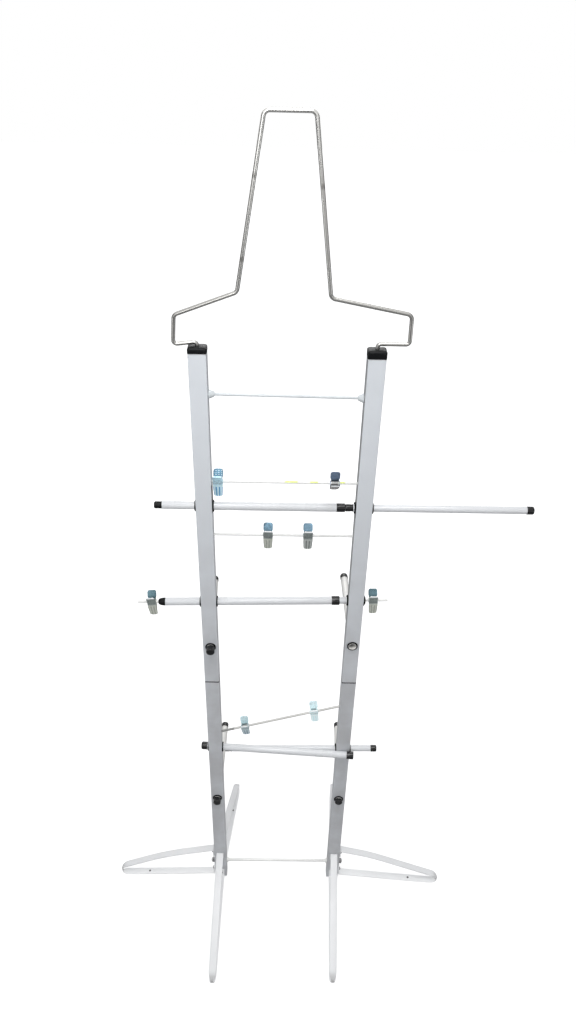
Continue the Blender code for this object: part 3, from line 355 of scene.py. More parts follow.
# How much each tone's plates glow, which is painted light
GLOWS = {"blue": 0.18, "pale": 0.1, "bright": 0.3}
CLIP_TONES = {1: "blue", 2: "dark", 3: "slate", 4: "striped", 5: "teal", 6: "teal", 7: "pale", 8: "bright"}
FRONTS, BACKS = {}, {}
for tone_name, (behind, before, jaws, grooves) in TONES.items():
    glow = GLOWS.get(tone_name, 0.0)
    dots_shown = 0.6 if tone_name == "blue" else 0.0
    # How strongly each front plate shows its painted highlight
    glint_shown = 0.0 if tone_name == "blue" else 0.95
    FRONTS[tone_name] = clip_metal("front_zinc_" + tone_name, before, jaws, grooves, glint_shown, 0.0, glow)
    BACKS[tone_name] = clip_metal("back_zinc_" + tone_name, behind, jaws, grooves, 0.0, dots_shown, glow)
SPRING = zinc("spring_steel", "zinc_plate", (0.50, 0.50, 0.49), (0.25, 0.25, 0.25), 0.3)
BOLT = zinc("bolt_steel", "bolt_steel", (0.28, 0.28, 0.285), (0.12, 0.12, 0.125), 0.38)
BARE = zinc("bare_edge", "post_paint", (0.93, 0.94, 0.95), (0.80, 0.82, 0.84), 0.4)
ROD = rod_coat("rod_paint", (0.88, 0.88, 0.86), 0.07)
TIE_ROD = rod_coat("tie_rod_paint", (0.70, 0.74, 0.76), 0.05)
DIM_ROD = rod_coat("dim_rod_paint", (0.70, 0.69, 0.66), 0.03, (0.30, 0.30, 0.29), ((-0.20, -0.150),))
# Stretches of rail 1 whose upper side gets a painted yellow-green glint, by their places across
RAIL_1_GLINTS = ((-0.029, -0.002), (0.024, 0.041), (0.085, 0.098))
LIT_ROD = rod_coat("lit_rod_paint", (0.90, 0.90, 0.88), 0.08, (0.74, 0.84, 0.14), RAIL_1_GLINTS, 1.4376)
# Near-black painted shadow for the joint between a post's sections
SEAM = black_moulding("seam_shadow", "post_paint", 0.6, 0.2, 0.1)
FLANGE = black_moulding("black_flange", "black_plastic", 0.6, 0.3, 0.05)


# Surfaces

def unit(vector):
    """A vector, or each of an array of them, at length one."""
    vector = np.asarray(vector, float)
    return vector / np.linalg.norm(vector, axis=-1, keepdims=True)


def surface(name, points, look, body, loops=(False, True), ends=(), angle=0.6):
    """Mesh on a grid of points, with four-sided faces between neighbours.

    loops says whether the grid closes along its first and second index. ends are the middles of the first and
    last row, each joined to its row by a fan. A closed mesh is turned to face outwards by its volume."""
    rows, columns = points.shape[:2]
    index = np.arange(rows * columns).reshape(rows, columns)
    if loops[0]:
        index = np.vstack((index, index[:1]))
    if loops[1]:
        index = np.hstack((index, index[:, :1]))
    quads = np.stack((index[:-1, :-1], index[:-1, 1:], index[1:, 1:], index[1:, :-1]), -1).reshape(-1, 4)
    verts = points.reshape(-1, 3)
    faces = quads.tolist()
    fans = []
    for row, middle in zip((index[0][::-1], index[-1]), ends):
        verts = np.vstack((verts, middle))
        fans.append(np.stack((row[:-1], row[1:], np.full(len(row) - 1, len(verts) - 1)), -1))
    corners = [quads[:, [0, 1, 2]], quads[:, [0, 2, 3]], *fans]
    triangles = verts[np.vstack(corners)] - verts.mean(0)
    volume = np.einsum("ij,ij->i", triangles[:, 0], np.cross(triangles[:, 1], triangles[:, 2])).sum()
    faces += np.vstack(fans).tolist() if fans else []
    if volume < 0:
        faces = [face[::-1] for face in faces]
    mesh = bpy.data.meshes.new(name)
    mesh.from_pydata(verts.tolist(), [], faces)
    shares = np.ones((len(verts), 2))
    across_and_down = np.meshgrid(np.linspace(0, 1, columns), np.linspace(0, 1, rows))
    shares[:rows * columns] = np.stack(across_and_down, -1).reshape(-1, 2)
    corner_of = np.empty(len(mesh.loops), int)
    mesh.loops.foreach_get("vertex_index", corner_of)
    mesh.uv_layers.new(name="grid").data.foreach_set("uv", shares[corner_of].ravel())
    mesh.shade_smooth()
    mesh.set_sharp_from_angle(angle=angle)
    mesh.materials.append(look.material)
    piece = bpy.data.objects.new(name, mesh)
    bpy.context.collection.objects.link(piece)
    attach(piece, body)
    return piece


def eased(corners, radius, steps=4, closed=False):
    """Outline with an arc of this radius at each corner, or a smaller one where a side is short."""
    corners = np.asarray(corners, float)
    radii = np.broadcast_to(radius, (len(corners),))
    path = []
    for i, corner in enumerate(corners):
        if not closed and i in (0, len(corners) - 1):
            path.append(corner)
            continue
        before = corners[i - 1] - corner
        after = corners[(i + 1) % len(corners)] - corner
        half = math.acos(np.clip(unit(before) @ unit(after), -1, 1)) / 2
        if half > 1.55 or radii[i] <= 0:
            path.append(corner)
            continue
        reach = min(radii[i] / math.tan(half), 0.45 * np.linalg.norm(before), 0.45 * np.linalg.norm(after))
        start = corner + unit(before) * reach
        finish = corner + unit(after) * reach
        centre = corner + unit(unit(before) + unit(after)) * reach / math.cos(half)
        sweep = math.pi - 2 * half
        turn = np.linspace(0, 1, steps + 1)[:, None]
        arc = (start - centre) * np.sin((1 - turn) * sweep) + (finish - centre) * np.sin(turn * sweep)
        path.extend(centre + arc / math.sin(sweep))
    return np.array(path)


def turned(name, profile, start, way, look, body, sides=48, ring=False):
    """Body of revolution: start + way times height + radius times (side cos a + rise sin a)."""
    profile = np.asarray(profile, float)
    way = unit(way)
    side = unit(np.cross(way, UP if abs(way[2]) < 0.7 else (1.0, 0.0, 0.0)))
    rise = np.cross(side, way)
    angle = np.linspace(0, math.tau, sides, endpoint=False)[:, None]
    rim = np.cos(angle) * side + np.sin(angle) * rise
    points = start + profile[:, 1, None, None] * way + profile[:, 0, None, None] * rim
    ends = () if ring else (start + profile[0, 1] * way, start + profile[-1, 1] * way)
    return surface(name, points, look, body, (ring, True), ends)


def swept(name, path, across, section, look, body):
    """Section carried along a path: x of the section lies along across, y square to it and to the path."""
    path = np.asarray(path, float)
    tangent = unit(np.gradient(path, axis=0))
    across = unit(np.broadcast_to(across, path.shape))
    away = unit(np.cross(tangent, across))
    section = np.asarray(section, float)
    points = path[:, None] + section[..., 0, None] * across[:, None] + section[..., 1, None] * away[:, None]
    return surface(name, points, look, body, (False, True), (path[0], path[-1]))


def circle(radius, sides):
    """Round section."""
    angle = np.linspace(0, math.tau, sides, endpoint=False)
    return radius * np.stack((np.cos(angle), np.sin(angle)), -1)


def box_ring(width, depth, corner, steps=6):
    """Rounded rectangle: the four corner centres plus a quarter circle at each."""
    angle = np.linspace(0, math.pi / 2, steps)
    quarter = np.arange(4)[:, None] * math.pi / 2 + angle
    signs = np.array(((1, 1), (-1, 1), (-1, -1), (1, -1)))[:, None]
    centres = signs * (width / 2 - corner, depth / 2 - corner)
    return (centres + corner * np.stack((np.cos(quarter), np.sin(quarter)), -1)).reshape(-1, 2)


def stacked(name, rings, middle, look, body, ends=True):
    """Body of rounded rectangles stacked upwards: each ring is a width, depth, corner and height."""
    points = []
    for width, depth, corner, height in rings:
        ring = box_ring(width, depth, corner)
        points.append(np.column_stack((ring, np.full(len(ring), height))))
    points = np.array(points) + middle
    caps = (middle + UP * rings[0][3], middle + UP * rings[-1][3]) if ends else ()
    return surface(name, points, look, body, (not ends, True), caps)


# Posts, their caps and the wire hanger

POST_TOP = {"left": 1.7255, "right": 1.7210}
CAP_TOP = 1.7381
# Gap between two pieces that fit together
FIT = 0.0003


def band(name, side, low, high, proud, look):
    """Thin collar around a post, between two heights."""
    rings = []
    for out, height in ((-0.0012, low), (proud, low), (proud, high), (-0.0012, high)):
        rings.append((POST_WIDTH + 2 * out, POST_DEPTH + 2 * out, 0.002 + out, height))
    middle = MIDDLE + (POST_X[side], 0, 0)
    return stacked(name, rings, middle, look, "stand", False)


def post_cap(side):
    """Moulded cap: straight sides, a rounded shoulder and a slightly crowned top."""
    low = POST_TOP[side] + FIT
    rings = [(0.0324, 0.0239, 0.001, low - 0.0137), (0.0324, 0.0239, 0.001, low)]
    wide, deep, shoulder, top = 0.0372, 0.0287, 0.0046, CAP_TOP
    rings.append((wide - 0.001, deep - 0.001, 0.0025, low))
    rings.append((wide, deep, 0.0035, low + 0.0005))
    for turn in np.linspace(0, math.pi / 2, 8):
        inset = shoulder * (1 - math.cos(turn))
        height = top - 0.0008 - shoulder * (1 - math.sin(turn))
        rings.append((wide - 2 * inset, deep - 2 * inset, 0.0035 + inset * 0.2, height))
    rings.append((0.014, 0.010, 0.003, top))
    middle = MIDDLE + (POST_X[side], 0, 0)
    cap = stacked(f"post_cap_{side}_moulded", rings, middle, MOULDED, "stand")
    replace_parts(cap, f"post_cap_{side}")
    for number, across in enumerate((-0.0095, 0.0095)):
        lip = ((0.0017, -0.0015), (0.0017, 0.0004), (0.0029, 0.0004), (0.0029, -0.0015))
        lip = eased(lip, 0.0004, 3, True)
        place = middle + (across, -0.0015, top - 0.0006)
        turned(f"cap_eye_{side}_{number}", lip, place, UP, GLOSSY, "stand", 24, True)


def hanger():
    """Bent wire: up out of the left cap, over both shoulders and the neck, and down into the right cap."""
    corners = [
        (-0.1715, 1.6725), (-0.1715, 1.7455), (-0.2168, 1.7395), (-0.2125, 1.7967), (-0.0943, 1.8413),
        (-0.0455, 2.1405), (0.040, 2.1405), (0.0785, 1.8332), (0.2305, 1.8045), (0.2317, 1.7470),
        (0.1715, 1.7472), (0.1715, 1.6725),
    ]
    radii = [0.011] * len(corners)
    radii[1] = radii[-2] = 0.006
    radii[2] = radii[-3] = 0.007
    flat = eased(corners, radii, 8)
    path = MIDDLE + np.column_stack((flat[:, 0], np.zeros(len(flat)), flat[:, 1]))
    wire = swept("hanger_wire", path, (0, 1, 0), circle(0.00395, 20), WIRE, "hanger")
    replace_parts(wire, "hanger")


# Arms

def side_line(side, height, rise, sweep):
    """Line of a side arm: where it crosses its post, and its way out of it."""
    return np.array((POST_X[side], 0, height)), unit((OUTWARD[side] * POST_SPACING, sweep, rise))


def cross_line(side, height, sweep, reach):
    """Line of a front-to-back arm: where it crosses its post, and its way to the rear."""
    return np.array((POST_X[side], 0, height)), unit((sweep, reach, 0.0))


WIDE, SLIM = 0.0093, 0.008
# Each arm's line, its radius, how far its outer end stands from its post's middle, and its length
ARMS = {
    "arm_a_left": (side_line("left", 1.3756, 0, 0), WIDE, 0.1045, 0.405),
    "arm_a_right": (side_line("right", 1.3756, 0, 0), SLIM, 0.3673, 0.389),
    "arm_b_left": (side_line("left", 1.1085, -0.009, 0), WIDE, 0.1015, 0.405),
    "arm_b_right": (side_line("right", 1.1175, 0.009, 0), SLIM, 0.02051, 0.389),
    "arm_c_left": (side_line("left", 0.6010, -0.0027, 0.0262), WIDE, 0.0360, 0.405),
    "arm_c_right": (side_line("right", 0.5985, 0.0168, -0.0086), SLIM, 0.0893, 0.389),
    "arm_d_left": (cross_line("left", 0.9768, -0.0095, 0.2530), WIDE, 0.2530, 0.285),
    "arm_d_right": (cross_line("right", 0.9859, -0.0035, 0.2600), WIDE, 0.2600, 0.277),
    "arm_e_left": (cross_line("left", 0.400, 0.0045, 0.2540), WIDE, 0.2540, 0.285),
    "arm_e_right": (cross_line("right", 0.400, 0.0105, 0.2590), WIDE, 0.2590, 0.285),
}


def flange(name, point, normal, bore):
    """Bushing flange on a post's face: a low ring with a rounded rim."""
    ring = [(bore, -0.0004), (0.01285, -0.0004), (0.01285, 0.0016), (0.0123, 0.0027), (bore, 0.0027)]
    turned(name, eased(ring, 0.0005, 3, True), point, normal, FLANGE, "stand", 48, True)


def arm(name):
    """A sliding arm: enamelled tube, the fitting on its inner end and the cap on its outer end."""
    (start, way), radius, outer, length = ARMS[name]
    start = start + MIDDLE
    inner = outer - length
    crosswise = name[4] in "de"
    look = OPEN if name == "arm_d_right" else CROSS if crosswise else TUBE
    wall = 0.0006 if radius == WIDE else 0.001
    bore = radius - wall
    edge = inner - 0.001 if name == "arm_a_right" else inner
    ring = [(radius, outer), (radius, edge), (bore, edge), (bore, outer)]
    if name == "arm_a_left":
        ring = [(0.0085, outer - 0.0135), (0.0085, 0.022), (radius, 0.018), (radius, inner), (bore, inner),
                (bore, 0.018), (0.0083, 0.022), (0.0083, outer - 0.0135)]
    tube = turned(name + "_tube", eased(ring, 0.0002, 2, True), start, way, look, name, 64, True)
    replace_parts(tube, name)
    if radius == SLIM:
        stop = [(bore - FIT, inner + 0.012), (bore - FIT, edge), (0.0081, edge), (0.0081, inner - 0.0035),
                (0.0077, inner - 0.0045), (0.0077, inner - 0.0065), (0.0081, inner - 0.0075),
                (0.0081, inner - 0.0155), (0.0077, inner - 0.018), (0.002, inner - 0.018)]
        turned(name + "_stop", eased(stop, 0.0004, 3), start, way, GLOSSY, name, 48)
    elif not crosswise:
        out = {"arm_a_left": 0.0096, "arm_b_left": 0.0107}.get(name, 0.0102)
        rim = [(bore, inner - 0.002), (0.0092, inner - 0.002), (out, inner - 0.001), (out, inner + 0.016),
               (0.00935, inner + 0.0162), (0.00935, inner - 0.0002), (bore, inner - 0.0002)]
        turned(name + "_ring", eased(rim, 0.0004, 3, True), start, way, GLOSSY, name, 48, True)
    elif name != "arm_d_right":
        limit = min(inner + 0.016, -POST_DEPTH / 2 - 0.0036 - 0.0102 * abs(way[0] / way[1]))
        front = [(0.003, inner - 0.0022), (0.0076, inner - 0.0020), (0.0102, inner - 0.0002),
                 (0.0102, limit), (0.00935, limit), (0.00935, inner + FIT), (0.003, inner + FIT)]
        turned(name + "_front", eased(front, 0.0009, 4), start, way, GLOSSY, name, 48)
    if name == "arm_b_left":
        dome = [(0.0034 + 0.0060 * math.cos(a) ** 0.85, outer + 0.0008 + 0.0157 * math.sin(a))
                for a in np.linspace(math.pi / 2, 0, 12)]
        cap = dome + [(0.0094, outer + FIT), (0.0084, outer + FIT), (0.0084, outer - 0.012),
                      (0.0034, outer - 0.012)]
        made = turned(name + "_cone", eased(cap, 0.0003, 2, True), start, way, MOULDED, name, 48, True)
    elif name == "arm_b_right":
        cap = [(0.0034, outer + 0.0023), (0.009, outer + 0.0023), (0.009, outer + FIT),
               (0.0067, outer + FIT), (0.0067, outer - 0.012), (0.0034, outer - 0.012)]
        made = turned(name + "_head", eased(cap, 0.0005, 3, True), start, way, MOULDED, name, 48, True)
    elif name == "arm_a_left":
        cap = [(0.0015, outer + 0.0038), (0.0060, outer + 0.0036), (0.0078, outer + 0.0018),
               (0.0078, outer - 0.0132), (0.0068, outer - 0.0132), (0.0068, outer - 0.025),
               (0.0015, outer - 0.025)]
        made = turned(name + "_end", eased(cap, 0.0008, 4), start, way, MOULDED, name, 48)
    else:
        over = radius + FIT
        rim = over + 0.0006
        cap = [(0.0015, outer + 0.002), (rim - 0.0032, outer + 0.0019), (rim - 0.0006, outer + 0.0006),
               (rim, outer - 0.0015), (rim, outer - 0.0125), (rim - 0.0003, outer - 0.014),
               (over, outer - 0.014), (over, outer + 0.0002), (0.0015, outer + 0.0002)]
        made = turned(name + "_end", eased(cap, 0.0008, 4), start, way, GLOSSY, name, 48)
    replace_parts(made, name + "_cap")
    for number, sign in enumerate((-1, 1)):
        if crosswise:
            point = start + way * (POST_DEPTH / 2 * sign / way[1])
            normal = (0.0, float(sign), 0.0)
        else:
            point = start + way * (POST_WIDTH / 2 * sign / way[0])
            normal = (float(sign), 0.0, 0.0)
        flange(f"{name}_flange_{number}", point, normal, radius + 0.0004)


# Rods, ties and bolts

def rod(name, start, end, radius, look, body, node=None):
    """Straight coated rod with eased ends."""
    start, end = np.asarray(start, float) + MIDDLE, np.asarray(end, float) + MIDDLE
    length = np.linalg.norm(end - start)
    profile = [(0.001, 0.0), (radius, 0.0), (radius, length), (0.001, length)]
    made = turned(name, eased(profile, 0.0009, 4), start, end - start, look, body, 32)
    if node:
        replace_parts(made, node)


# Height of each rail's left and right end, and how far each stub reaches from its post's middle
RAILS = {"rail_1": (1.4373, 1.4373), "rail_2": (1.3010, 1.3010), "rail_4": (0.6612, 0.7613)}
STUBS = {"rail_3_left": ("arm_b_left", 0.1663), "rail_3_right": ("arm_b_right", 0.0750)}
TIE_HEIGHT = {"left": 1.638, "right": 1.6345}
LOW_TIE_HEIGHT = 0.082


def rods_and_ties():
    """The rods between the posts, the stubs on row B, and the two tie rods with their fittings."""
    for name, (low, high) in RAILS.items():
        left, right = np.array((-POST_GAP, 0, low)), np.array((POST_GAP, 0, high))
        way = unit(right - left) * 0.01
        look = {"rail_1": LIT_ROD, "rail_4": DIM_ROD}.get(name, ROD)
        rod(name + "_rod", left - way, right + way, 0.003, look, "stand", name)
    for name, (holder, reach) in STUBS.items():
        (start, way), _, outer, _ = ARMS[holder]
        rod(name + "_rod", start + way * (outer - 0.012), start + way * reach, 0.003, ROD, holder, name)
    start = np.array((-POST_REACH - 0.011, 0, LOW_TIE_HEIGHT))
    rod("tie_rod_lower_rod", start, start * (-1, 1, 1), 0.004, ROD, "stand", "tie_rod_lower")
    start, end = (-POST_GAP - 0.01, 0, TIE_HEIGHT["left"]), (POST_GAP + 0.01, 0, TIE_HEIGHT["right"])
    rod("tie_rod_upper_rod", start, end, 0.003, TIE_ROD, "stand", "tie_rod_upper")
    for side, sign in OUTWARD.items():
        low = MIDDLE + (sign * POST_GAP, 0, LOW_TIE_HEIGHT)
        high = MIDDLE + (sign * POST_GAP, 0, TIE_HEIGHT[side])
        inward = (-float(sign), 0.0, 0.0)
        collar = ((0.0041, FIT), (0.0075, FIT), (0.0075, 0.005), (0.0041, 0.005))
        turned(f"tie_collar_{side}", eased(collar, 0.0009, 4, True), low, inward, ROD, "stand", 40, True)
        cone = [(0.0031, FIT), (0.009, FIT), (0.009, 0.003), (0.005, 0.012), (0.0031, 0.012)]
        turned(f"tie_cone_{side}", eased(cone, 0.0008, 4, True), high, inward, TIE_ROD, "stand", 40, True)
        nut = [(0.0043, FIT), (0.0074, FIT), (0.0085, 0.0011), (0.0085, 0.0072), (0.0074, 0.008),
               (0.0043, 0.008)]
        seat = MIDDLE + (sign * POST_REACH, 0, LOW_TIE_HEIGHT)
        made = turned(f"tie_nut_{side}", nut, seat, (float(sign), 0.0, 0.0), BOLT, "stand", 6, True)
        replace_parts(made, f"tie_rod_nut_{side}")


# Each leg's post, the face it is bolted to, how far it reaches out, and how far it turns aside
LEGS = {
    "leg_front_left": ("left", (0, -1), 0.309, -0.0046),
    "leg_front_right": ("right", (0, -1), 0.306, -0.0125),
    "leg_rear_left": ("left", (0, 1), 0.317, 0.034),
    "leg_rear_right": ("right", (0, 1), 0.321, 0.021),
    "leg_side_left": ("left", (-1, 0), 0.2915, 0.010),
    "leg_side_right": ("right", (1, 0), 0.309, -0.010),
}


# How high the bend at each leg's tip stands, how far the upper limb bows up and where along the leg, how much
# shorter the leg looks than its node, and how far its hole is from the tip
LEG_FORMS = {
    "leg_front_left": (0.022, 0.006, 0.5, 0.0, 0.090),
    "leg_front_right": (0.022, 0.006, 0.5, 0.0, 0.090),
    "leg_rear_left": (0.025, 0.006, 0.5, 0.008, 0.097),
    "leg_rear_right": (0.025, 0.006, 0.5, 0.008, 0.097),
    "leg_side_left": (0.030, 0.013, 0.5, 0.0, 0.086),
    "leg_side_right": (0.026, 0.010, 0.3, 0.0, 0.090),
}
# Heights of a leg's two corners at its post, the length of its tabs, and half the thickness of its bar
LEG_TOP, LEG_LOW, LEG_TAB, LEG_SKIN = 0.142, 0.026, 0.028, 0.0015
BOLT_HEIGHTS = (0.126, 0.042)


def leg_root(name):
    """Where a leg's tab meets its post, at the floor, and the leg's way out."""
    side, (face_x, face_y), reach, sweep = LEGS[name]
    normal = np.array((face_x, face_y, 0.0))
    across = np.array((abs(face_y), abs(face_x), 0.0))
    seat = FIT + 0.0095 * abs(sweep) / reach
    face = (POST_WIDTH if face_x else POST_DEPTH) / 2
    return MIDDLE + (POST_X[side], 0, 0) + normal * (face + seat), unit(normal * reach + across * sweep)


def leg_paint():
    """Powder coat of the legs, with near-black painted shade in the small hole through each lower limb,
    painted shade at the bend of the tip, which is midway down the bar's own grid, and a painted glow that is
    stronger on the lower limb."""
    tones = (0.78, 0.785, 0.79), (0.76, 0.765, 0.77)
    finish = painted("leg_paint", "leg_paint", *tones, 0.4, 0.45, (0.0, 0.14))
    tone = Value(finish, finish.shader.inputs["Base Color"].links[0].from_socket)
    for name in LEGS:
        root, way = leg_root(name)
        shorter, from_tip = LEG_FORMS[name][3:]
        out = LEGS[name][2] - shorter - from_tip
        # Near-black painted shade in the small hole
        hole = finish.near(root + way * out + UP * 0.0095, 0.0046).ease(0.05, 0.3)
        tone = finish.blend(tone, (0.03, 0.03, 0.03), hole)
    along = finish.grid("Y")
    # Painted shade on the bend at the tip
    tone = finish.blend(tone, (0.42, 0.41, 0.40), abs(along - 0.49).ease(0.0, 0.10, 0.55, 0.0))
    finish.set("Base Color", tone)
    # Painted light: the legs glow a little, the lower limb more than the upper
    finish.set("Emission Color", finish.blend((0, 0, 0), tone, along.ease(0.50, 0.56, 0.09, 0.25)))
    finish.set("Emission Strength", 1.0)
    return finish


LEG = leg_paint()


def leg(name):
    """Hairpin of flat bar: a bolted tab, down to an open bend at the tip, back under, and a second tab.

    Its bar narrows at the tip: its width is 20.5 mm times the root of 1 - b^4, where b goes from 0 to 0.98
    over the last 32 mm."""
    root, way = leg_root(name)
    bend, bow, bow_share, shorter, _ = LEG_FORMS[name]
    reach = LEGS[name][2] - shorter
    tip = reach - LEG_SKIN
    bow_height = LEG_TOP + (bend + 0.007 - LEG_TOP) * bow_share + bow
    corners = ((LEG_SKIN, LEG_TOP - LEG_TAB), (LEG_SKIN, LEG_TOP), (tip * bow_share, bow_height),
               (tip - 0.012, bend + 0.007), (tip, bend - 0.006), (tip, LEG_SKIN), (reach - 0.034, LEG_SKIN),
               (LEG_SKIN, LEG_LOW), (LEG_SKIN, LEG_LOW + LEG_TAB))
    radii = (0, 0.004, 1.0, 0.045, 0.010, 0.006, 0.05, 0.004, 0)
    flat = eased(corners, radii, 8)
    steps = [flat[:1]]
    for start, end in zip(flat[:-1], flat[1:]):
        count = max(1, math.ceil(np.linalg.norm(end - start) / 0.006))
        steps.append(start + (end - start) * (np.arange(1, count + 1) / count)[:, None])
    flat = np.vstack(steps)
    beyond = np.clip((flat[:, 0] - (reach - 0.032)) / 0.031, 0, 0.985)
    share = np.stack(((1 - beyond ** 4) ** 0.5, np.ones(len(flat))), -1)
    section = box_ring(0.0205, 2 * LEG_SKIN, 0.0006, 4) * share[:, None]
    path = root + flat[:, :1] * way + flat[:, 1:] * UP
    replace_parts(swept(name + "_bar", path, np.cross(UP, way), section, LEG, "stand"), name)


def leg_bolts(name):
    """Button heads over the two bolts of a leg, with a socket in each."""
    root, way = leg_root(name)
    head = [(0.0002, 0.0048), (0.0017, 0.0048), (0.0021, 0.0066), (0.0034, 0.0064), (0.0047, 0.0052),
            (0.00525, 0.0040), (0.00525, 0.0030), (0.0002, 0.0030)]
    for number, height in enumerate(BOLT_HEIGHTS):
        point = root + UP * height
        turned(f"{name}_bolt_{number}", eased(head, 0.0003, 2), point, way, BOLT, "stand", 32)


# Spring clips

# Way of the rod under each clip, where it isn't level
CLIP_WAYS = {5: (0.999656, 0.0, 0.02623), 6: (0.999656, 0.0, 0.02623), 7: (0.950738, 0.0, 0.309996),
             8: (0.950738, 0.0, 0.309996)}
# Degrees that a clip swings forward about its rod, and tilts in its own plane
CLIP_SWINGS = {2: 38.0, 5: -5.0, 6: -6.0, 7: 8.0}
CLIP_TILTS = {5: -4.0}
# How far the plates of a clip on the slanting rod turn back to the upright
CLIP_HANGS = {7: 11.0, 8: 11.0}
# Side view of a plate, in millimetres: height above the rod, and how far out from it
CLIP_ROWS = np.array(((19.5, 16.0), (5.2, 6.2), (-5.2, 6.2), (-12.0, 5.8), (-33.0, 1.4), (-36.0, 0.8))) / 1000


def clip_turn(number, hang=0.0):
    """Axes of a clip: across along its rod, swung about the rod, and tilted a little. hang tilts it more."""
    side = unit(CLIP_WAYS.get(number, (1.0, 0.0, 0.0)))
    upright = unit(UP - side * (UP @ side))
    axes = np.column_stack((side, np.cross(upright, side), upright))
    swing = math.radians(CLIP_SWINGS.get(number, 0))
    tilt = math.radians(CLIP_TILTS.get(number, 0) + hang)
    c, s = math.cos(swing), math.sin(swing)
    roll = np.array(((1, 0, 0), (0, c, -s), (0, s, c)))
    c, s = math.cos(tilt), math.sin(tilt)
    lean = np.array(((c, 0, s), (0, 1, 0), (-s, 0, c)))
    return axes @ roll @ lean


def clip_plate(number, half, sign, look, body, node):
    """Stamped plate of a clip. Its side view is a smoothed polyline. Raised dots cover the handle, three
    grooves run down the jaw, the edges turn in and the corners are rounded. In front the handle's end is
    rolled back."""
    rows = CLIP_ROWS.copy()
    if sign > 0:
        rows[0] += (0.0018, 0.0012)
    heights = np.linspace(rows[0, 0], rows[-1, 0], 105)
    out = np.interp(-heights, -rows[:, 0], rows[:, 1])
    padded = np.concatenate((2 * out[0] - out[5:0:-1], out, 2 * out[-1] - out[-2:-7:-1]))
    out = np.convolve(padded, np.ones(11) / 11, "valid")
    across = np.linspace(-1, 1, 49)
    near_end = np.minimum(heights[0] - heights, heights - heights[-1])
    corner = 0.0046
    bite = corner * (1 - np.sqrt(1 - np.clip(1 - near_end / corner, 0, 1) ** 2))
    handle_end = np.clip((heights - 0.0062) / 0.003, 0, 1)
    taper = 1 - 0.15 * np.clip((-heights - 0.009) / 0.027, 0, 1)
    width = np.maximum((half + (0.0104 - half) * handle_end) * taper - bite, half * 0.5)
    u, h = np.meshgrid(across, heights)
    jaw = np.clip((-h - 0.008) / 0.004, 0, 1) * np.clip((h + 0.0345) / 0.002, 0, 1)
    groove = 0.0006 * jaw * (0.5 + 0.5 * np.cos(3 * math.pi * u))
    handle = np.clip((h - 0.0065) / 0.002, 0, 1) * np.clip((0.0175 - h) / 0.002, 0, 1) * (abs(u) < 0.86)
    dots = np.sin(u * half * math.tau / 0.0048) * np.sin((h - 0.012) * math.tau / 0.0048)
    dots = 0.0004 * handle * np.clip(dots, 0, 1) ** 0.7
    edge = 0.0006 * np.abs(u) ** 6
    roll = (0.0024 if sign < 0 else 0.0) * np.clip((h - 0.0172) / 0.0023, 0, 1) ** 2
    y = sign * (out[:, None] - groove + dots - edge - roll)
    local = np.stack((u * width[:, None], y, h), -1)
    turn = clip_turn(number, CLIP_HANGS.get(number, 0.0))
    points = local @ turn.T + JOINTS[f"clip_{number}_jaw_hinge"]["pos_m"]
    plate = surface(node + "_plate", points, look, body, (False, False), (), 0.9)
    plate.modifiers.new("thickness", "SOLIDIFY").thickness = 0.00095
    plate.modifiers["thickness"].offset = 0
    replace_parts(plate, node)


def clip_ear(name, number, x, sign, look, body):
    """Ear of a clip: a sheet around the rod's hole, out to a round end one way and to the plate the other."""
    angle = np.linspace(0, math.tau, 48, endpoint=False)
    c, s = np.cos(angle), np.sin(angle)
    ahead = np.minimum(0.0060 / np.maximum(c, 1e-6), 0.0052 / np.maximum(np.abs(s), 1e-6))
    reach = np.where(c > 0, ahead, 0.0052)
    radius = np.stack((np.full(48, 0.0034), reach))
    ring = np.stack((np.zeros_like(radius), sign * radius * c, radius * s), -1)
    sides = [ring[0] + (x - 0.00045, 0, 0), ring[1] + (x - 0.00045, 0, 0), ring[1] + (x + 0.00045, 0, 0),
             ring[0] + (x + 0.00045, 0, 0)]
    points = np.array(sides) @ clip_turn(number).T + JOINTS[f"clip_{number}_jaw_hinge"]["pos_m"]
    surface(name, points, look, body, (True, True))


def clip_spring(number):
    """Coil about the rod: six turns, with a straight end up each handle."""
    turns = np.linspace(-0.35, 6.35, 180)
    angle = turns * math.tau
    coil = np.stack((0.0062 * (turns / 3 - 1), 0.0044 * np.sin(angle), 0.0044 * np.cos(angle)), -1)
    first = coil[0] + np.linspace(1, 0.05, 12)[:, None] * (0, -0.0052, 0.0095)
    last = coil[-1] + np.linspace(0.05, 1, 12)[:, None] * (0, 0.0052, 0.0095)
    local = np.vstack((first, coil, last))
    turn = clip_turn(number)
    path = local @ turn.T + JOINTS[f"clip_{number}_jaw_hinge"]["pos_m"]
    swept(f"clip_{number}_coil", path, turn[:, 0], circle(0.00045, 8), SPRING, f"clip_{number}")


def clip(number):
    """One spring clip: the jaw's plate in front, the held plate behind, four ears and the coil."""
    tone = CLIP_TONES[number]
    outer, inner = 0.0103, 0.0090
    clip_plate(number, outer, -1, FRONTS[tone], f"clip_{number}_jaw", f"clip_{number}_front")
    clip_plate(number, inner, 1, BACKS[tone], f"clip_{number}", f"clip_{number}_back")
    inset = 0.0005 if number in CLIP_HANGS else 0.0003
    for side, sign in OUTWARD.items():
        jaw_x, held_x = sign * (outer - inset), sign * (inner - inset)
        clip_ear(f"clip_{number}_jaw_ear_{side}", number, jaw_x, -1, BACKS[tone], f"clip_{number}_jaw")
        clip_ear(f"clip_{number}_ear_{side}", number, held_x, 1, BACKS[tone], f"clip_{number}")
    clip_spring(number)


# Camera, floor and light

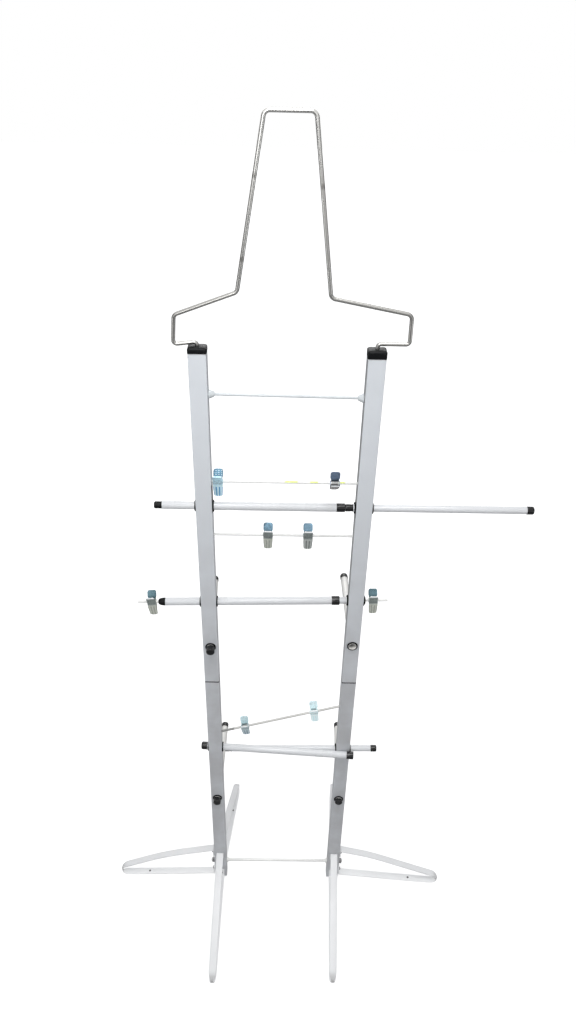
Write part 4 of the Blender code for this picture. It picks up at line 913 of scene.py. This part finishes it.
def aim(thing, target):
    """Turn a camera or a lamp so that it looks at a point."""
    thing.rotation_euler = (Vector(target) - thing.location).to_track_quat("-Z", "Y").to_euler()


def camera():
    """The photograph's viewpoint, for a frame of 576 by 1024 with a focal length of 780 pixels."""
    pitch, yaw, roll = (math.radians(angle) for angle in (33.438, 0.8776, 1.3681))
    ahead = np.array((math.sin(yaw) * math.cos(pitch), math.cos(yaw) * math.cos(pitch), -math.sin(pitch)))
    right = np.array((math.cos(yaw), -math.sin(yaw), 0.0))
    above = np.cross(right, ahead)
    turned_right = right * math.cos(roll) + above * math.sin(roll)
    turned_up = -right * math.sin(roll) + above * math.cos(roll)
    data = bpy.data.cameras.new("view")
    data.sensor_fit = "VERTICAL"
    data.sensor_height = 36.0
    data.lens = 36.0 * 780 / 1024
    data.clip_end = 60
    seen = bpy.data.objects.new("view", data)
    bpy.context.collection.objects.link(seen)
    turn = Matrix(np.column_stack((turned_right, turned_up, -ahead)).tolist()).to_4x4()
    seen.matrix_world = Matrix.Translation(MIDDLE + (-0.013, -1.4093, 2.293)) @ turn
    bpy.context.scene.camera = seen


def lamp(name, place, target, size, power, colour=(1, 1, 1)):
    """Square soft lamp."""
    data = bpy.data.lights.new(name, "AREA")
    data.shape = "SQUARE"
    data.size = size
    data.energy = power
    data.color = colour
    item = bpy.data.objects.new(name, data)
    bpy.context.collection.objects.link(item)
    item.location = place
    aim(item, target)


def plainly_seen(tree, others):
    """One where the camera or one of the other named rays meets a surface."""
    path = tree.nodes.new("ShaderNodeLightPath")
    seen = path.outputs["Is Camera Ray"]
    for other in others:
        either = tree.nodes.new("ShaderNodeMath")
        either.operation = "MAXIMUM"
        tree.links.new(seen, either.inputs[0])
        tree.links.new(path.outputs[other], either.inputs[1])
        seen = either.outputs[0]
    return seen


def floor():
    """Pale seamless floor that keeps the soft shadow of the rack."""
    grid = np.stack(np.meshgrid(np.linspace(-14, 14, 3), np.linspace(-14, 14, 3)), -1)
    points = np.concatenate((grid, np.zeros((3, 3, 1))), -1).reshape(-1, 3)
    quads = [(i, i + 1, i + 4, i + 3) for i in (0, 1, 3, 4)]
    mesh = bpy.data.meshes.new("floor")
    mesh.from_pydata(points.tolist(), [], quads)
    look = Finish("floor_white", None, (0.45, 0.45, 0.45), 0.9)
    look.set("Base Color", look.blend((0.46, 0.46, 0.46), (0.44, 0.44, 0.44), look.noise(0.6, 2.0)))
    seen = Value(look, plainly_seen(look.tree, ["Is Transmission Ray"]))
    x, y = look.along("X"), look.along("Y")
    far = ((x * x + y * y) ** 0.5).ease(0.7, 2.6)
    look.set("Emission Strength", 1.0)
    look.set("Emission Color", look.blend((0, 0, 0), look.blend((0.80, 0.80, 0.80), (1, 1, 1), far), seen))
    mesh.materials.append(look.material)
    item = bpy.data.objects.new("floor", mesh)
    bpy.context.collection.objects.link(item)


def surroundings():
    """Pale world that is plain white to the camera and in gloss."""
    world = bpy.data.worlds.new("studio")
    bpy.context.scene.world = world
    world.use_nodes = True
    tree = world.node_tree
    soft = tree.nodes["Background"]
    soft.inputs["Color"].default_value = (0.92, 0.95, 1.0, 1)
    soft.inputs["Strength"].default_value = 0.25
    white = tree.nodes.new("ShaderNodeBackground")
    white.inputs["Color"].default_value = (1, 1, 1, 1)
    white.inputs["Strength"].default_value = 1.0
    mix = tree.nodes.new("ShaderNodeMixShader")
    tree.links.new(plainly_seen(tree, ["Is Glossy Ray", "Is Transmission Ray"]), mix.inputs[0])
    tree.links.new(soft.outputs[0], mix.inputs[1])
    tree.links.new(white.outputs[0], mix.inputs[2])
    tree.links.new(mix.outputs[0], tree.nodes["World Output"].inputs["Surface"])


def dark_card(name, points):
    """Card that only metal and gloss see, as the dark sides of a room."""
    mesh = bpy.data.meshes.new(name)
    mesh.from_pydata(points, [], [(0, 1, 2, 3)])
    look = Finish(name, None, (0.02, 0.02, 0.02), 0.9)
    mesh.materials.append(look.material)
    item = bpy.data.objects.new(name, mesh)
    bpy.context.collection.objects.link(item)
    item.visible_camera = False
    item.visible_diffuse = False
    item.visible_shadow = False


# The whole picture

SEAM_HEIGHT = {"left": 0.8577, "right": 0.8603}

camera()
floor()
surroundings()
lamp("overhead", (0.1, -1.2, 8.0), (0, 0, 0.8), 4.0, 240)
lamp("key", (-0.45, -1.55, 2.2), (0, 0, 1.7), 0.7, 5)
lamp("top", (-0.15, -0.8, 2.5), (0, 0, 1.6), 0.4, 4)
lamp("behind", (0.0, 2.4, 2.4), (0, 0.2, 0.1), 1.4, 16)
lamp("low_left", (-1.9, -0.8, 1.1), (-0.4, 0, 0.05), 1.0, 7)
lamp("low_right", (1.9, -0.8, 1.1), (0.4, 0, 0.05), 1.0, 7)
for card_side, card_x in (("left", -2.4), ("right", 2.4)):
    edges = ((-0.9, 0), (0.9, 0), (0.9, 3.4), (-0.9, 3.4))
    dark_card("card_" + card_side, [(card_x, y, z) for y, z in edges])

for post_side in POST_X:
    for section in ("lower", "upper"):
        node = frame["nodes"][f"post_{section}_{post_side}"]
        node.data.materials.clear()
        node.data.materials.append(POST.material)
    node = frame["nodes"][f"post_sleeve_{post_side}"]
    node.data.materials.clear()
    node.data.materials.append(BARE.material)
    post_cap(post_side)
    top, seam = POST_TOP[post_side], SEAM_HEIGHT[post_side]
    band(f"post_rim_{post_side}", post_side, top - 0.0014, top, 0.00008, BARE)
    # A near-black band that is painted shadow in the joint between the post's sections
    band(f"post_seam_{post_side}", post_side, seam - 0.0016, seam + 0.0016, 0.00005, SEAM)
hanger()
for arm_name in ARMS:
    arm(arm_name)
rods_and_ties()
for leg_name in LEGS:
    leg(leg_name)
    leg_bolts(leg_name)
for clip_number in range(1, 9):
    clip(clip_number)

scene = bpy.context.scene
scene.view_settings.view_transform = "Standard"
